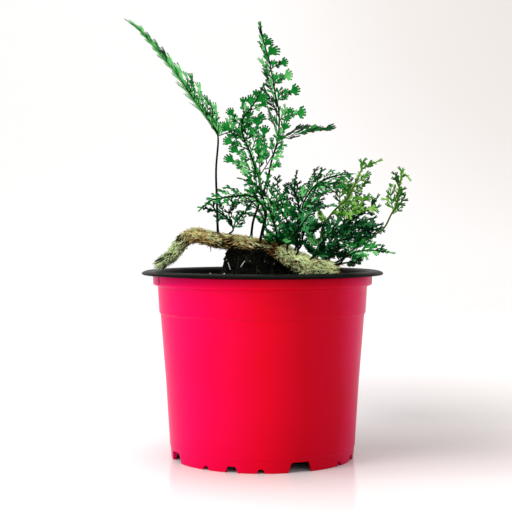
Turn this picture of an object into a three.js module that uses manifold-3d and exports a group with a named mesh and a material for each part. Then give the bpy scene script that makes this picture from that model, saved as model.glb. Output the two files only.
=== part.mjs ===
// A potted rabbits foot fern: a red plastic pot with a dark lining, potting mix, a furry creeping rhizome
// and the fronds that grow from it. Millimetres, +Z up, origin on the floor under the pot's axis.
import * as THREE from 'three';
import { mergeVertices } from 'three/addons/utils/BufferGeometryUtils.js';
import Module from 'manifold-3d';

const wasm = await Module();
wasm.setup();

// Pot: radii and heights of the red wall, which the lining follows
const POT_SIDES = 28;
const WALL = 1.3;
const LAYER_GAP = 0.4;
const FOOT_RADIUS = 49.5;
const FOOT_LINE = { radius: 50.1, height: 7 };
const BELLY = { radius: 55.3, height: 78 };
const SHOULDER = { radius: 56, height: 79 };
const BAND = { radius: 59.3, bottom: 93.4, top: 98.6 };
const FLOOR_HEIGHT = 6.8;
const FOOT_RING = 1.7;
const RIM_TOP = 101.2;
const RIM_RADIUS = 65.5;

// Notches round the foot, which repeat four times: angle from the front, widths and height
const FOOT_NOTCHES = [
  { angle: -67, foot: 13.5, top: 10, height: 5.4 },
  { angle: -36, foot: 4, top: 3, height: 2.3 },
  { angle: -18.5, foot: 7, top: 4.6, height: 3.3 },
  { angle: -1, foot: 4, top: 3, height: 2.3 },
];
const NOTCH_TURNS = 4;
const DRAIN = { radius: 4, circle: 31, count: 4, sides: 8 };

// Potting mix: level of the surface and the raised root ball
const MIX_LEVEL = 96.5;
const MIX_RINGS = [0.9];
const ROOT_BALL = { x: -2.5, y: -3, top: 112.5, bottom: 90, radius: 17.5, depth: 0.82, sides: 12 };

// Stems
const SEAT_GAP = 0.35;
const SOCKET_DEPTH = 2.4;
const STIPE_RADIUS = 0.85;
const FORK_RADIUS = 0.62;
const TIP_RADIUS = 0.42;
const SOCKET_REACH = 5.6;
const SOCKET_SIDES = 5;
const STEM_STEP = 10;

// Leaflets
const BLADE = 0.62;
const RIB_HALF = 0.4;
const LEAFLET_FOOT = 0.45;
const FOLD_STEP = 6;
const STAGGER = 0.42;
const LAST_PAIR = 0.94;
const STATION_GAP = 1.6;
const RIB_STEP = 1.3;
const RIB_STEP_SHARE = 0.05;
const RIB_TAPER = 0.4;
const UPPER_SHARE = 0.42;
const LOWER_SHARE = 0.3;
const LEAST_LOBE = 1.8;
const LEAST_LEAFLET = 2.4;
const LOBE_HALF = 1.25;
const LOBE_ROOT = 0.45;
const LOBE_SPREAD = 0.16;
const LOBE_LEAN = 0.8;
const LEAN_LOSS = 0.25;
const LOBE_POWER = 0.8;
const LOBE_BEND = 0.2;

// Fans: the wide lobes at the ends of ribs and the leaflets that have no rib
const FAN_SHARE = 0.42;
const FAN_MOST = 5.6;
const FAN_HALF = 2.3;
const FAN_SPREAD = 0.42;
const TIP_FAN = 3.2;
const WIDE_HALF = 1.3;
const NOTCH_HALF = 1.7;
const NOTCH_DEPTH = 1.7;

// Shares of its full length and width that a lobe tries in turn until it has room
const LOBE_TRIES = [[1, 1], [1, 0.6], [1, 0.36], [0.8, 0.65], [0.62, 0.75], [0.48, 0.9]];

// Least room between lobes of a leaflet, between leaflets of a frond and between fronds
const LOBE_GAP = 0.2;
const LEAFLET_GAP = 0.12;
const FROND_GAP = 0.4;

const COLOURS = {
  red: 0xe01038,
  lining: 0x2b3532,
  mix: 0x17130f,
  rhizome: 0x9c8b66,
  green: 0x2f8a43,
  dark: 0x17603a,
  yellow: 0x6f9a38,
};

function material(colour, roughness) {
  return new THREE.MeshStandardMaterial({ color: colour, roughness, metalness: 0 });
}

function point(values) {
  return new THREE.Vector3(values[0], values[1], values[2]);
}

function makeRandom(seed) {
  let state = seed;
  return (low, high) => {
    state = (Math.imul(state, 1664525) + 1013904223) >>> 0;
    return low + (high - low) * (state / 4294967296);
  };
}

// A closed geometry as a solid: shared corners merged, faces without area dropped
function toSolid(geometry) {
  const bare = new THREE.BufferGeometry();
  bare.setAttribute('position', geometry.getAttribute('position'));
  bare.setIndex(geometry.getIndex());
  const merged = mergeVertices(bare, 1e-4);
  const index = merged.getIndex().array;
  const triangles = [];
  for (let i = 0; i < index.length; i += 3) {
    const [a, b, c] = [index[i], index[i + 1], index[i + 2]];
    if (a !== b && b !== c && c !== a) triangles.push(a, b, c);
  }
  const vertProperties = new Float32Array(merged.getAttribute('position').array);
  const mesh = new wasm.Mesh({ numProp: 3, vertProperties, triVerts: new Uint32Array(triangles) });
  mesh.merge();
  return new wasm.Manifold(mesh);
}

function toMesh(name, solid, finish) {
  const cut = solid.getMesh();
  const geometry = new THREE.BufferGeometry();
  geometry.setAttribute('position', new THREE.BufferAttribute(new Float32Array(cut.vertProperties), 3));
  geometry.setIndex(new THREE.BufferAttribute(new Uint32Array(cut.triVerts), 1));
  const mesh = new THREE.Mesh(geometry, finish);
  mesh.name = name;
  return mesh;
}

function gather(solids) {
  return solids.reduce((joined, solid) => joined.add(solid));
}

// Solids joined in one, without the scraps that a touching edge can leave
function union(solids) {
  const pieces = gather(solids).decompose();
  return pieces.reduce((largest, piece) => (piece.volume() > largest.volume() ? piece : largest));
}

// A profile of [radius, height] pairs, from axis to axis, turned about Z
function lathe(profile, sides) {
  const outline = profile.map(([radius, height]) => new THREE.Vector2(radius, height));
  const geometry = new THREE.LatheGeometry(outline, sides);
  geometry.rotateX(Math.PI / 2);
  return geometry;
}

// A smooth line through points, measured along its length
function makeTrack(points) {
  const curve = new THREE.CatmullRomCurve3(points, false, 'catmullrom', 0.5);
  const count = 24 * (points.length - 1);
  const places = [];
  const lengths = [0];
  for (let i = 0; i <= count; i += 1) {
    places.push(curve.getPoint(i / count));
    if (i > 0) lengths.push(lengths[i - 1] + places[i].distanceTo(places[i - 1]));
  }
  const total = lengths[count];
  function at(distance) {
    const wanted = Math.min(Math.max(distance, 0), total);
    let i = 1;
    while (i < count && lengths[i] < wanted) i += 1;
    const share = (wanted - lengths[i - 1]) / (lengths[i] - lengths[i - 1]);
    return places[i - 1].clone().lerp(places[i], share);
  }
  function heading(distance) {
    return at(distance + 0.6).sub(at(distance - 0.6)).normalize();
  }
  return { total, at, heading, knot: (i) => lengths[24 * i] };
}

// A closed tapering stem through the given centres, its rings carried along without twist
function stemGeometry(centres, radii, sides) {
  const positions = [];
  const index = [];
  let across = new THREE.Vector3(0.31, 0.87, 0.23);
  centres.forEach((centre, k) => {
    const before = centres[Math.max(k - 1, 0)];
    const after = centres[Math.min(k + 1, centres.length - 1)];
    const along = after.clone().sub(before).normalize();
    across = across.clone().addScaledVector(along, -across.dot(along)).normalize();
    const side = along.clone().cross(across);
    for (let s = 0; s < sides; s += 1) {
      const turn = (2 * Math.PI * s) / sides;
      const spot = centre.clone();
      spot.addScaledVector(across, radii[k] * Math.cos(turn));
      spot.addScaledVector(side, radii[k] * Math.sin(turn));
      positions.push(spot.x, spot.y, spot.z);
    }
  });
  for (let k = 0; k + 1 < centres.length; k += 1) {
    for (let s = 0; s < sides; s += 1) {
      const a = k * sides + s;
      const b = k * sides + ((s + 1) % sides);
      index.push(a, b, b + sides, a, b + sides, a + sides);
    }
  }
  const last = (centres.length - 1) * sides;
  for (let s = 1; s + 1 < sides; s += 1) {
    index.push(0, s + 1, s);
    index.push(last, last + s, last + s + 1);
  }
  const geometry = new THREE.BufferGeometry();
  geometry.setAttribute('position', new THREE.Float32BufferAttribute(positions, 3));
  geometry.setIndex(index);
  return geometry;
}

// Pot

function outerWall() {
  return [
    [FOOT_RADIUS, 0],
    [FOOT_LINE.radius, FOOT_LINE.height],
    [BELLY.radius, BELLY.height],
    [SHOULDER.radius, SHOULDER.height],
    [SHOULDER.radius + 0.8, BAND.bottom - 0.9],
    [BAND.radius, BAND.bottom],
    [BAND.radius + 0.1, BAND.top],
  ];
}

function radiusOn(wall, height) {
  for (let i = 1; i < wall.length; i += 1) {
    const [lowRadius, low] = wall[i - 1];
    const [highRadius, high] = wall[i];
    if (height <= high) return lowRadius + ((highRadius - lowRadius) * (height - low)) / (high - low);
  }
  return wall[wall.length - 1][0];
}

// The wall's own heights again, moved in by a thickness, from a floor up to a top
function insetWall(thickness, bottom, top) {
  const wall = outerWall();
  const inset = [[radiusOn(wall, bottom) - thickness, bottom]];
  wall.forEach(([radius, height]) => {
    if (height > bottom + 1 && height < top - 1) inset.push([radius - thickness, height]);
  });
  inset.push([radiusOn(wall, top) - thickness, top]);
  return inset;
}

function notchGeometry(notch) {
  const outline = new THREE.Shape();
  outline.moveTo(-notch.foot / 2, -1);
  outline.lineTo(notch.foot / 2, -1);
  outline.lineTo(notch.top / 2, notch.height);
  outline.lineTo(-notch.top / 2, notch.height);
  outline.closePath();
  const geometry = new THREE.ExtrudeGeometry(outline, { depth: 8, bevelEnabled: false });
  geometry.translate(0, 0, FOOT_RADIUS - 6);
  geometry.rotateX(Math.PI / 2);
  return geometry;
}

function drainSolid(turn, bottom, top) {
  const geometry = new THREE.CylinderGeometry(DRAIN.radius, DRAIN.radius, top - bottom, DRAIN.sides);
  geometry.rotateX(Math.PI / 2);
  geometry.translate(DRAIN.circle, 0, (top + bottom) / 2);
  geometry.rotateZ(turn);
  return toSolid(geometry);
}

function drainHoles(bottom, top) {
  const holes = [];
  for (let i = 0; i < DRAIN.count; i += 1) {
    holes.push(drainSolid((2 * Math.PI * (i + 0.5)) / DRAIN.count, bottom, top));
  }
  return gather(holes);
}

function makeOuterPot() {
  const inside = insetWall(WALL, FLOOR_HEIGHT + WALL, BAND.top).reverse();
  const ring = FOOT_RADIUS - FOOT_RING;
  const under = [[0, FLOOR_HEIGHT], [ring, FLOOR_HEIGHT], [ring, 0]];
  const profile = [...under, ...outerWall(), ...inside, [0, FLOOR_HEIGHT + WALL]];
  let solid = toSolid(lathe(profile, POT_SIDES));
  for (let turn = 0; turn < NOTCH_TURNS; turn += 1) {
    for (const notch of FOOT_NOTCHES) {
      const geometry = notchGeometry(notch);
      geometry.rotateZ(THREE.MathUtils.degToRad(notch.angle + 90 * turn));
      solid = solid.subtract(toSolid(geometry));
    }
  }
  solid = solid.subtract(drainHoles(FLOOR_HEIGHT - 1, FLOOR_HEIGHT + WALL + 1));
  return toMesh('pot_outer', solid, material(COLOURS.red, 0.35));
}

const LINER_OUT = WALL + LAYER_GAP;
const LINER_IN = LINER_OUT + 1;
const LINER_FLOOR = FLOOR_HEIGHT + WALL + LAYER_GAP;

function makeLiner() {
  const outside = insetWall(LINER_OUT, LINER_FLOOR, BAND.top + 0.3);
  const inside = insetWall(LINER_IN, LINER_FLOOR + 1, BAND.top).reverse();
  const lip = BAND.top + LAYER_GAP;
  const rim = [
    [BAND.radius + 0.8, lip + 0.1],
    [RIM_RADIUS - 0.7, lip - 0.2],
    [RIM_RADIUS, lip + 0.6],
    [RIM_RADIUS - 1.1, RIM_TOP - 0.7],
    [RIM_RADIUS - 3.6, RIM_TOP],
    [RIM_RADIUS - 6.4, RIM_TOP - 0.4],
    [RIM_RADIUS - 8.2, RIM_TOP - 2],
  ];
  const profile = [[0, LINER_FLOOR], ...outside, ...rim, ...inside, [0, LINER_FLOOR + 1]];
  const solid = toSolid(lathe(profile, POT_SIDES));
  const holes = drainHoles(LINER_FLOOR - 1, LINER_FLOOR + 2);
  return toMesh('pot_liner', solid.subtract(holes), material(COLOURS.lining, 0.45));
}

// Potting mix and rhizome

function lumps(x, y) {
  return 0.6 * Math.sin(0.31 * x + 1.1) * Math.cos(0.27 * y - 0.4) + 0.5 * Math.sin(0.53 * y + 0.19 * x);
}

function makeMixBody() {
  const bottom = LINER_FLOOR + 1 + LAYER_GAP;
  const side = insetWall(LINER_IN + LAYER_GAP, bottom, MIX_LEVEL - 1.5);
  const edge = side[side.length - 1][0];
  const top = [...MIX_RINGS].reverse().map((share) => [edge * share, MIX_LEVEL]);
  const geometry = lathe([[0, bottom], ...side, ...top, [0, MIX_LEVEL]], POT_SIDES);
  const spots = geometry.getAttribute('position');
  for (let i = 0; i < spots.count; i += 1) {
    if (spots.getZ(i) > MIX_LEVEL - 0.5) {
      spots.setZ(i, MIX_LEVEL + lumps(spots.getX(i), spots.getY(i)));
    }
  }
  return toSolid(geometry);
}

function makeRootBall() {
  const levels = [0, 0.3, 0.6, 0.85, 1];
  const profile = levels.map((share) => {
    const height = ROOT_BALL.bottom + share * (ROOT_BALL.top - ROOT_BALL.bottom);
    const shrink = share > 0.9 ? 0.82 : 1;
    return [ROOT_BALL.radius * shrink, height];
  });
  const crown = [[ROOT_BALL.radius * 0.45, ROOT_BALL.top], [0, ROOT_BALL.top]];
  const closed = [[0, ROOT_BALL.bottom], ...profile, ...crown];
  const geometry = lathe(closed, ROOT_BALL.sides);
  const spots = geometry.getAttribute('position');
  for (let i = 0; i < spots.count; i += 1) {
    const x = spots.getX(i);
    const y = spots.getY(i);
    const z = spots.getZ(i);
    const swell = 1 + 0.05 * Math.sin(0.4 * x + 0.33 * z) + 0.05 * Math.cos(0.37 * y - 0.5 * z);
    const rise = z > ROOT_BALL.top - 1 ? 1.3 * Math.sin(0.35 * x) * Math.cos(0.3 * y) : 0;
    spots.setXYZ(i, ROOT_BALL.x + x * swell, ROOT_BALL.y + y * swell * ROOT_BALL.depth, z + rise);
  }
  return toSolid(geometry);
}

// The rhizome's branches: centres from the knot outward, and radii at the knot and at the tip
const KNOT = [9, -13, 112.5];
const KNOT_RADIUS = 4.4;
const RUNNERS = {
  arch: {
    centres: [
      KNOT, [2, -12, 113.5], [-3.5, -11, 114.5], [-9, -10, 115.5], [-17, -10, 116.5], [-22.5, -10, 117.2],
      [-29, -10, 118.6], [-35, -10, 120], [-40, -11, 118.8], [-43.5, -13, 115.5], [-47, -16, 110.8],
      [-50.5, -18, 107.6], [-54, -20, 105.2],
    ],
    radii: [3.6, 3.6, 2.4],
  },
  right: {
    centres: [KNOT, [14, -22, 109], [19.5, -29, 106], [25, -33.5, 104], [30.5, -36, 103], [35, -37, 102.2]],
    radii: [3.7, 4.1, 3.6],
  },
  back: {
    centres: [KNOT, [15, -4, 109], [24, 4, 105.5], [33, 9, 103], [42, 12, 101.8]],
    radii: [3.6, 3.6, 3.2],
  },
};
const RUNNER_SIDES = 6;
const RUNNER_STEP = 10;
const RUNNER_SHARE = 0.1;

function runnerTrack(name) {
  return makeTrack(RUNNERS[name].centres.map(point));
}

function runnerRadius(name, share) {
  const [first, middle, last] = RUNNERS[name].radii;
  if (share < 0.5) return first + (middle - first) * share * 2;
  return middle + (last - middle) * (share * 2 - 1);
}

function makeRunner(name, extra) {
  const track = runnerTrack(name);
  const count = Math.round(track.total / RUNNER_STEP);
  const shares = [];
  for (let i = 0; i <= count; i += 1) shares.push(i / count);
  shares.splice(count, 0, 1 - 0.25 / count);
  const centres = shares.map((share) => track.at(share * track.total));
  const radii = shares.map((share) => {
    const closing = share > 0.999 ? 0.5 : 1;
    return runnerRadius(name, share) * closing + extra;
  });
  return toSolid(stemGeometry(centres, radii, RUNNER_SIDES));
}

function makeRhizome(extra) {
  const knot = new THREE.SphereGeometry(KNOT_RADIUS + extra, 8, 6);
  knot.translate(KNOT[0], KNOT[1], KNOT[2]);
  return union([toSolid(knot), ...Object.keys(RUNNERS).map((name) => makeRunner(name, extra))]);
}

// Fronds
// root: the runner and the share of its length where the stipe stands
// stem: centre line; fork: the point of it where the leafy part starts
// face: directions that the upper side looks in, at the fork and past turn (share of the leafy part)
// left, right: reach of the longest leaflet, its angle at the fork and at the tip, its fold along the rachis,
// its roll about its own rib and its curl towards the frond's tip
// cut: a leaflet or lobe shorter than this has no rib of its own
// basal: how much longer the lowest pair is, left and right, how far its upper side looks to the sky,
// and how many degrees wider it opens, left and right
const FRONDS = [
  {
    name: 'frond_tall_left', tone: 'green', root: ['arch', 0.46],
    stem: [
      [-24, -9, 124], [-24.5, -8, 139], [-25, -5, 155.5], [-24, -2, 173], [-26.9, 1, 179.6],
      [-32, 5, 186.5], [-38.7, 11, 196], [-45.8, 18, 206.9], [-52.8, 24, 216.1], [-62.8, 32, 228.6],
      [-71, 36.5, 238], [-76, 39, 242],
    ],
    fork: 3, face: [[0.2, -0.95, 0.25], [0.45, -0.75, 0.5]], turn: 0.16,
    pairs: 21, power: 1.15, cut: 13, basal: [1.4, 1.75, 0.1, 12, 32],
    left: [12, 30, 26, 60, 0, 0.05], right: [18, 42, 34, 6, 0, 0.05],
    taper: 0.45, droop: 0.1, seed: 11,
  },
  {
    name: 'frond_tall_middle', tone: 'green', root: ['arch', 0.22],
    stem: [
      [-6, -9.5, 119.5], [-5, -8, 127.5], [-2, -6, 136.5], [2.5, -3, 149.5], [5, 0, 160.5],
      [8, 2, 170.5], [9, 3, 177.5], [9, 4, 187.5], [7, 5, 197.5], [5, 6, 209], [3.5, 6.5, 216.5],
      [1, 7, 225], [-1, 7, 234],
    ],
    fork: 5, face: [[-0.6, -0.8, 0], [-0.6, -0.8, 0.1]], turn: 1,
    pairs: 8, power: 1.6, cut: 7.5, basal: [1, 1.65, 1.6, 0, 0],
    left: [25, 36, 30, -8, 66, 0.1], right: [20, 60, 44, -8, 0, -0.2],
    taper: 0.65, droop: 0.08, seed: 23,
  },
  {
    name: 'frond_middle', tone: 'green', root: ['arch', 0.14],
    stem: [
      [-1, -14, 118.5], [0.5, -15, 125.5], [2, -16, 131], [1, -16, 137.5], [-1, -16, 144],
      [-2, -16, 150.5], [-4, -16, 156], [-6.5, -15.5, 164], [-10.5, -15, 173], [-11, -15, 178.5],
      [-9.5, -15, 183.5], [-4.5, -14, 190], [0, -13, 198.5],
    ],
    fork: 5, face: [[0, -1, 0.1], [0.1, -1, 0.1]], turn: 1,
    pairs: 8, power: 1.1, cut: 7.5, basal: [1.2, 1.5, 0.3, 0, 12],
    left: [16, 56, 50, 10, 0, 0.1], right: [24, 46, 36, -5, 0, 0.1],
    taper: 0.5, droop: 0.06, seed: 37,
  },
  {
    name: 'frond_low_left_bright', tone: 'green', root: ['arch', 0.02],
    stem: [
      [0.5, -20, 120], [1.5, -24, 127], [0.5, -28, 134.5], [-3, -30, 139], [-7.5, -32, 141],
      [-12.5, -35, 140.5], [-19, -39, 139.5], [-26, -43, 138], [-30, -46, 134.5],
    ],
    fork: 2, face: [[-0.1, -0.9, 0.3], [-0.3, -0.8, 0.55]], turn: 1,
    pairs: 6, power: 1.1, cut: 7.5, basal: [0.9, 1, 0, 0, 0],
    left: [13, 55, 40, 0, 0, 0.1], right: [15, 65, 40, 0, 0, 0.1],
    taper: 0.8, droop: 0.1, seed: 41,
  },
  {
    name: 'frond_sweeping_left', tone: 'green', root: ['right', 0.36],
    stem: [
      [17.5, -28, 114.5], [16.5, -27, 121], [13.5, -25, 126.5], [10, -23.5, 133], [5, -22.5, 137],
      [1, -22, 142], [-3.5, -22, 146.5], [-6.5, -22, 148.5], [-10, -22, 149.5],
    ],
    fork: 3, face: [[0, -0.95, 0.3], [0, -0.8, 0.6]], turn: 1,
    pairs: 7, power: 1.1, cut: 7.5, basal: [0.8, 0.9, 0.3, 0, 0],
    left: [12, 50, 40, 0, 0, 0.1], right: [18, 72, 45, 0, 0, 0.1],
    taper: 0.6, droop: 0.06, seed: 43,
  },
  {
    name: 'frond_low_left_small', tone: 'dark', root: ['arch', 0.36],
    stem: [
      [-17.5, -12, 121], [-15.5, -14, 123], [-17.5, -16, 128], [-21.5, -18, 131.5],
      [-26, -20, 133.5], [-31, -22, 134.5],
    ],
    fork: 1, face: [[0, -1, 0.2], [0, -1, 0.3]], turn: 1,
    pairs: 4, power: 1, cut: 7.5, basal: [1.3, 1.3, 0.3, 0, 0],
    left: [8, 55, 45, 0, 0, 0.1], right: [13, 62, 50, 0, 0, 0.1],
    taper: 0.7, droop: 0.1, seed: 47,
  },
  {
    name: 'frond_centre_right', tone: 'green', root: ['right', 0.42],
    stem: [
      [18.5, -31, 112.5], [18, -30, 120], [19.5, -29, 127], [20.5, -28, 133], [21.5, -27, 137.5],
      [24.5, -26, 142.5], [26.5, -25.5, 145], [29.5, -25, 147.5], [34, -24, 150], [41, -22, 152],
      [47.5, -20, 152.5],
    ],
    fork: 5, face: [[-0.3, -0.5, 0.8], [0, -0.5, 0.85]], turn: 1,
    pairs: 7, power: 1.1, cut: 7.5, basal: [1.3, 1.3, 0.3, 0, 0],
    left: [16, 60, 40, 0, 0, 0.1], right: [15, 62, 45, -10, 0, 0.1],
    taper: 0.7, droop: 0.08, seed: 53,
  },
  {
    name: 'frond_centre_dark', tone: 'dark', root: ['back', 0.28],
    stem: [
      [21, -6, 115], [21.5, -12, 123], [20.5, -14, 131.5], [18.5, -13, 139], [17, -13, 145.5],
      [18, -12, 152],
    ],
    fork: 1, face: [[0.1, -1, 0.2], [0, -1, 0.3]], turn: 1,
    pairs: 7, power: 1, cut: 7.5, basal: [0.8, 0.9, 0.3, 42, 42],
    left: [17, 60, 35, 0, 0, 0.1], right: [18, 60, 35, 0, 0, 0.1],
    taper: 0.8, droop: 0.08, seed: 59,
  },
  {
    name: 'frond_right_yellow', tone: 'yellow', root: ['right', 0.72],
    stem: [
      [29.5, -31, 112], [31, -26, 123], [33.5, -24, 127.5], [35.5, -23, 130.5], [38.5, -22, 134],
      [42.5, -22, 137.5], [45.5, -22, 141], [48, -21.5, 146], [50, -21, 150], [53, -20, 155.5],
      [60.5, -19, 159],
    ],
    fork: 4, face: [[0.1, -1, 0.15], [0, -1, 0.2]], turn: 1,
    pairs: 6, power: 1.1, cut: 7.5, basal: [1.3, 1.3, 0.3, 0, 0],
    left: [17, 55, 35, 0, 0, 0.12], right: [16, 55, 30, 0, 0, 0.12],
    taper: 0.75, droop: 0.06, seed: 61,
  },
  {
    name: 'frond_far_right', tone: 'yellow', root: ['back', 0.97],
    stem: [
      [47, 2, 110], [52.5, -6, 115], [58.5, -11, 119.5], [64.5, -15, 124], [68, -17, 131],
      [71, -18, 136.5], [72, -18, 144], [73, -18, 149.5], [74.8, -18, 152.6], [76.4, -18, 151.2],
    ],
    fork: 4, face: [[0.25, -1, 0], [0.1, -1, 0]], turn: 1,
    pairs: 5, power: 1, cut: 7.5, basal: [1.3, 1.3, 0.3, 0, 0],
    left: [15, 55, 45, 0, 0, 0.15], right: [8, 40, 40, 0, 0, 0.15],
    taper: 0.6, droop: 0.06, seed: 67,
  },
  {
    name: 'frond_low_right', tone: 'green', root: ['right', 0.9],
    stem: [
      [38.5, -31.5, 106.5], [43, -31, 109], [48, -32, 111.5], [54, -33, 112.5], [59.5, -34, 112.3],
      [65, -35, 111.5],
    ],
    fork: 1, face: [[0, -0.7, 0.7], [0, -0.7, 0.7]], turn: 1,
    pairs: 6, power: 1, cut: 7.5, basal: [1.3, 1.3, 0.3, 0, 0],
    left: [11, 60, 40, 10, 0, 0.1], right: [8, 60, 40, 0, 0, 0.1],
    taper: 0.7, droop: 0.06, seed: 71,
  },
  {
    name: 'frond_rim_right', tone: 'dark', root: ['right', 0.97],
    stem: [[38, -39.5, 105.5], [42.5, -41, 106.3], [46, -42.3, 106.6], [50, -43.5, 106.2]],
    fork: 1, face: [[0, -0.8, 0.6], [0, -0.8, 0.6]], turn: 1,
    pairs: 4, power: 1, cut: 7.5, basal: [1.3, 1.3, 0.3, 0, 0],
    left: [7, 55, 40, 5, 0, 0.1], right: [4, 55, 40, 30, 0, 0.1],
    taper: 0.6, droop: 0, seed: 73,
  },
  {
    name: 'frond_right_dark_upper', tone: 'dark', root: ['back', 0.6],
    stem: [
      [34, 0, 112], [38, -4, 118.5], [42.5, -6, 123.5], [47, -8, 127.5], [52.5, -9, 131.5],
      [58.5, -9, 135.5], [61, -9, 139.5],
    ],
    fork: 2, face: [[0, -0.95, 0.3], [0, -0.95, 0.3]], turn: 1,
    pairs: 5, power: 1, cut: 7.5, basal: [1.3, 1.3, 0.3, 0, 0],
    left: [18, 58, 40, 0, 0, 0.1], right: [16, 55, 40, 0, 0, 0.1],
    taper: 0.7, droop: 0.08, seed: 79,
  },
  {
    name: 'frond_right_dark_middle', tone: 'dark', root: ['back', 0.78],
    stem: [[38, 4, 109.5], [42.5, 2, 114], [48, 1, 118], [53, 1, 121], [58, 0, 123.5], [63, -1, 125.5]],
    fork: 1, face: [[0, -0.9, 0.4], [0, -0.9, 0.4]], turn: 1,
    pairs: 5, power: 1, cut: 7.5, basal: [1.3, 1.3, 0.3, 0, 0],
    left: [15, 55, 40, 0, 0, 0.1], right: [14, 55, 40, 0, 0, 0.1],
    taper: 0.7, droop: 0.08, seed: 84,
  },
  {
    name: 'frond_right_dark_lower', tone: 'dark', root: ['back', 0.5],
    stem: [
      [31, -6, 110], [35, -12, 113.5], [39.5, -15, 116.5], [45, -16, 118.5], [51, -17, 119.5],
      [57, -19, 119.5],
    ],
    fork: 1, face: [[0, -0.9, 0.4], [0, -0.9, 0.4]], turn: 1,
    pairs: 6, power: 1, cut: 7.5, basal: [1.3, 1.3, 0.3, 0, 0],
    left: [14, 58, 40, 0, 0, 0.1], right: [12, 55, 40, 0, 0, 0.1],
    taper: 0.7, droop: 0.08, seed: 89,
  },
  {
    name: 'frond_mid_front', tone: 'green', root: ['right', 0.04],
    stem: [[8, -20, 117], [7.5, -23, 120.5], [6, -25, 126], [4, -27, 132.5], [3, -28, 137]],
    fork: 1, face: [[-0.1, -1, 0.2], [-0.1, -1, 0.2]], turn: 1,
    pairs: 6, power: 1, cut: 7.5, basal: [1.1, 1.1, 0.3, 34, 34],
    left: [13, 60, 40, 0, 0, 0.1], right: [15, 60, 40, 0, 0, 0.1],
    taper: 0.6, droop: 0.08, seed: 97,
  },
  {
    name: 'frond_mid_front_small', tone: 'dark', root: ['right', 0.22],
    stem: [[13, -25, 114.5], [14, -28, 117.5], [17, -31, 121.5], [21, -34, 126.5], [24, -36, 131]],
    fork: 1, face: [[0.1, -1, 0.2], [0.1, -1, 0.2]], turn: 1,
    pairs: 5, power: 1, cut: 7.5, basal: [1, 1.1, 0.3, 36, 36],
    left: [15, 60, 40, 0, 0, 0.1], right: [15, 60, 40, 0, 0, 0.1],
    taper: 0.6, droop: 0.08, seed: 101,
  },
  {
    name: 'frond_low_front', tone: 'dark', root: ['right', 0.62],
    stem: [[26.5, -37, 110], [28, -39.5, 113.5], [30.5, -41.5, 117], [34, -43, 121], [38, -44, 124]],
    fork: 1, face: [[0.1, -1, 0.2], [0.1, -1, 0.3]], turn: 1,
    pairs: 4, power: 1, cut: 7.5, basal: [1.1, 1.1, 0.3, 34, 34],
    left: [13, 60, 40, 0, 0, 0.1], right: [12, 60, 40, 0, 0, 0.1],
    taper: 0.6, droop: 0.08, seed: 113,
  },
  {
    name: 'frond_back_middle', tone: 'dark', root: ['back', 0.15],
    stem: [
      [15.5, 0, 117.5], [18.5, 12, 126], [23, 24, 135], [27.5, 34, 142], [32.5, 44, 149],
      [37.5, 52, 153],
    ],
    fork: 2, face: [[0.1, -0.6, 0.8], [0.1, -0.4, 0.9]], turn: 1,
    pairs: 3, power: 1.1, cut: 14, basal: [1.3, 1.3, 0.3, 0, 0],
    left: [17, 60, 35, 5, 0, 0.1], right: [17, 60, 35, 5, 0, 0.1],
    taper: 0.8, droop: 0.1, seed: 103,
  },
  {
    name: 'frond_back_right', tone: 'dark', root: ['back', 0.85],
    stem: [[39, 20, 111], [43, 30, 121], [48.5, 39, 129], [54, 46, 134], [59, 51, 137]],
    fork: 1, face: [[-0.2, -0.6, 0.8], [-0.2, -0.4, 0.9]], turn: 1,
    pairs: 3, power: 1.1, cut: 14, basal: [1.3, 1.3, 0.3, 0, 0],
    left: [14, 60, 35, 5, 0, 0.1], right: [13, 60, 35, 5, 0, 0.1],
    taper: 0.8, droop: 0.1, seed: 107,
  },
  {
    name: 'frond_back_left', tone: 'green', root: ['arch', 0.08],
    stem: [[3, 4, 119], [1, 16, 128], [-2.5, 28, 135], [-7, 39, 140], [-11.5, 47, 142.5]],
    fork: 1, face: [[0.1, -0.6, 0.8], [0.1, -0.3, 0.9]], turn: 1,
    pairs: 4, power: 1.1, cut: 14, basal: [1.3, 1.3, 0.3, 0, 0],
    left: [15, 60, 35, 5, 0, 0.1], right: [15, 60, 35, 5, 0, 0.1],
    taper: 0.8, droop: 0.1, seed: 109,
  },
];

// A frond's whole centre line: it starts inside the runner, straight under its first traced point
function frondTrack(frond) {
  const points = frond.stem.map(point);
  const [runner, share] = frond.root;
  const track = runnerTrack(runner);
  const centre = track.at(share * track.total);
  const outward = points[0].clone().sub(centre).normalize();
  const start = centre.addScaledVector(outward, runnerRadius(runner, share) - SOCKET_DEPTH);
  return makeTrack([start, ...points]);
}

function stemRadius(distance, fork, total) {
  if (distance < fork) return STIPE_RADIUS + ((FORK_RADIUS - STIPE_RADIUS) * distance) / fork;
  return FORK_RADIUS + ((TIP_RADIUS - FORK_RADIUS) * (distance - fork)) / (total - fork);
}

// A sheet is a list of spots, each with half its thickness as a vector, and triangles on its upper side
function makeSheet() {
  return { spots: [], halves: [], faces: [] };
}

function addSpot(sheet, spot, half) {
  sheet.spots.push(spot);
  sheet.halves.push(half);
  return sheet.spots.length - 1;
}

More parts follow.
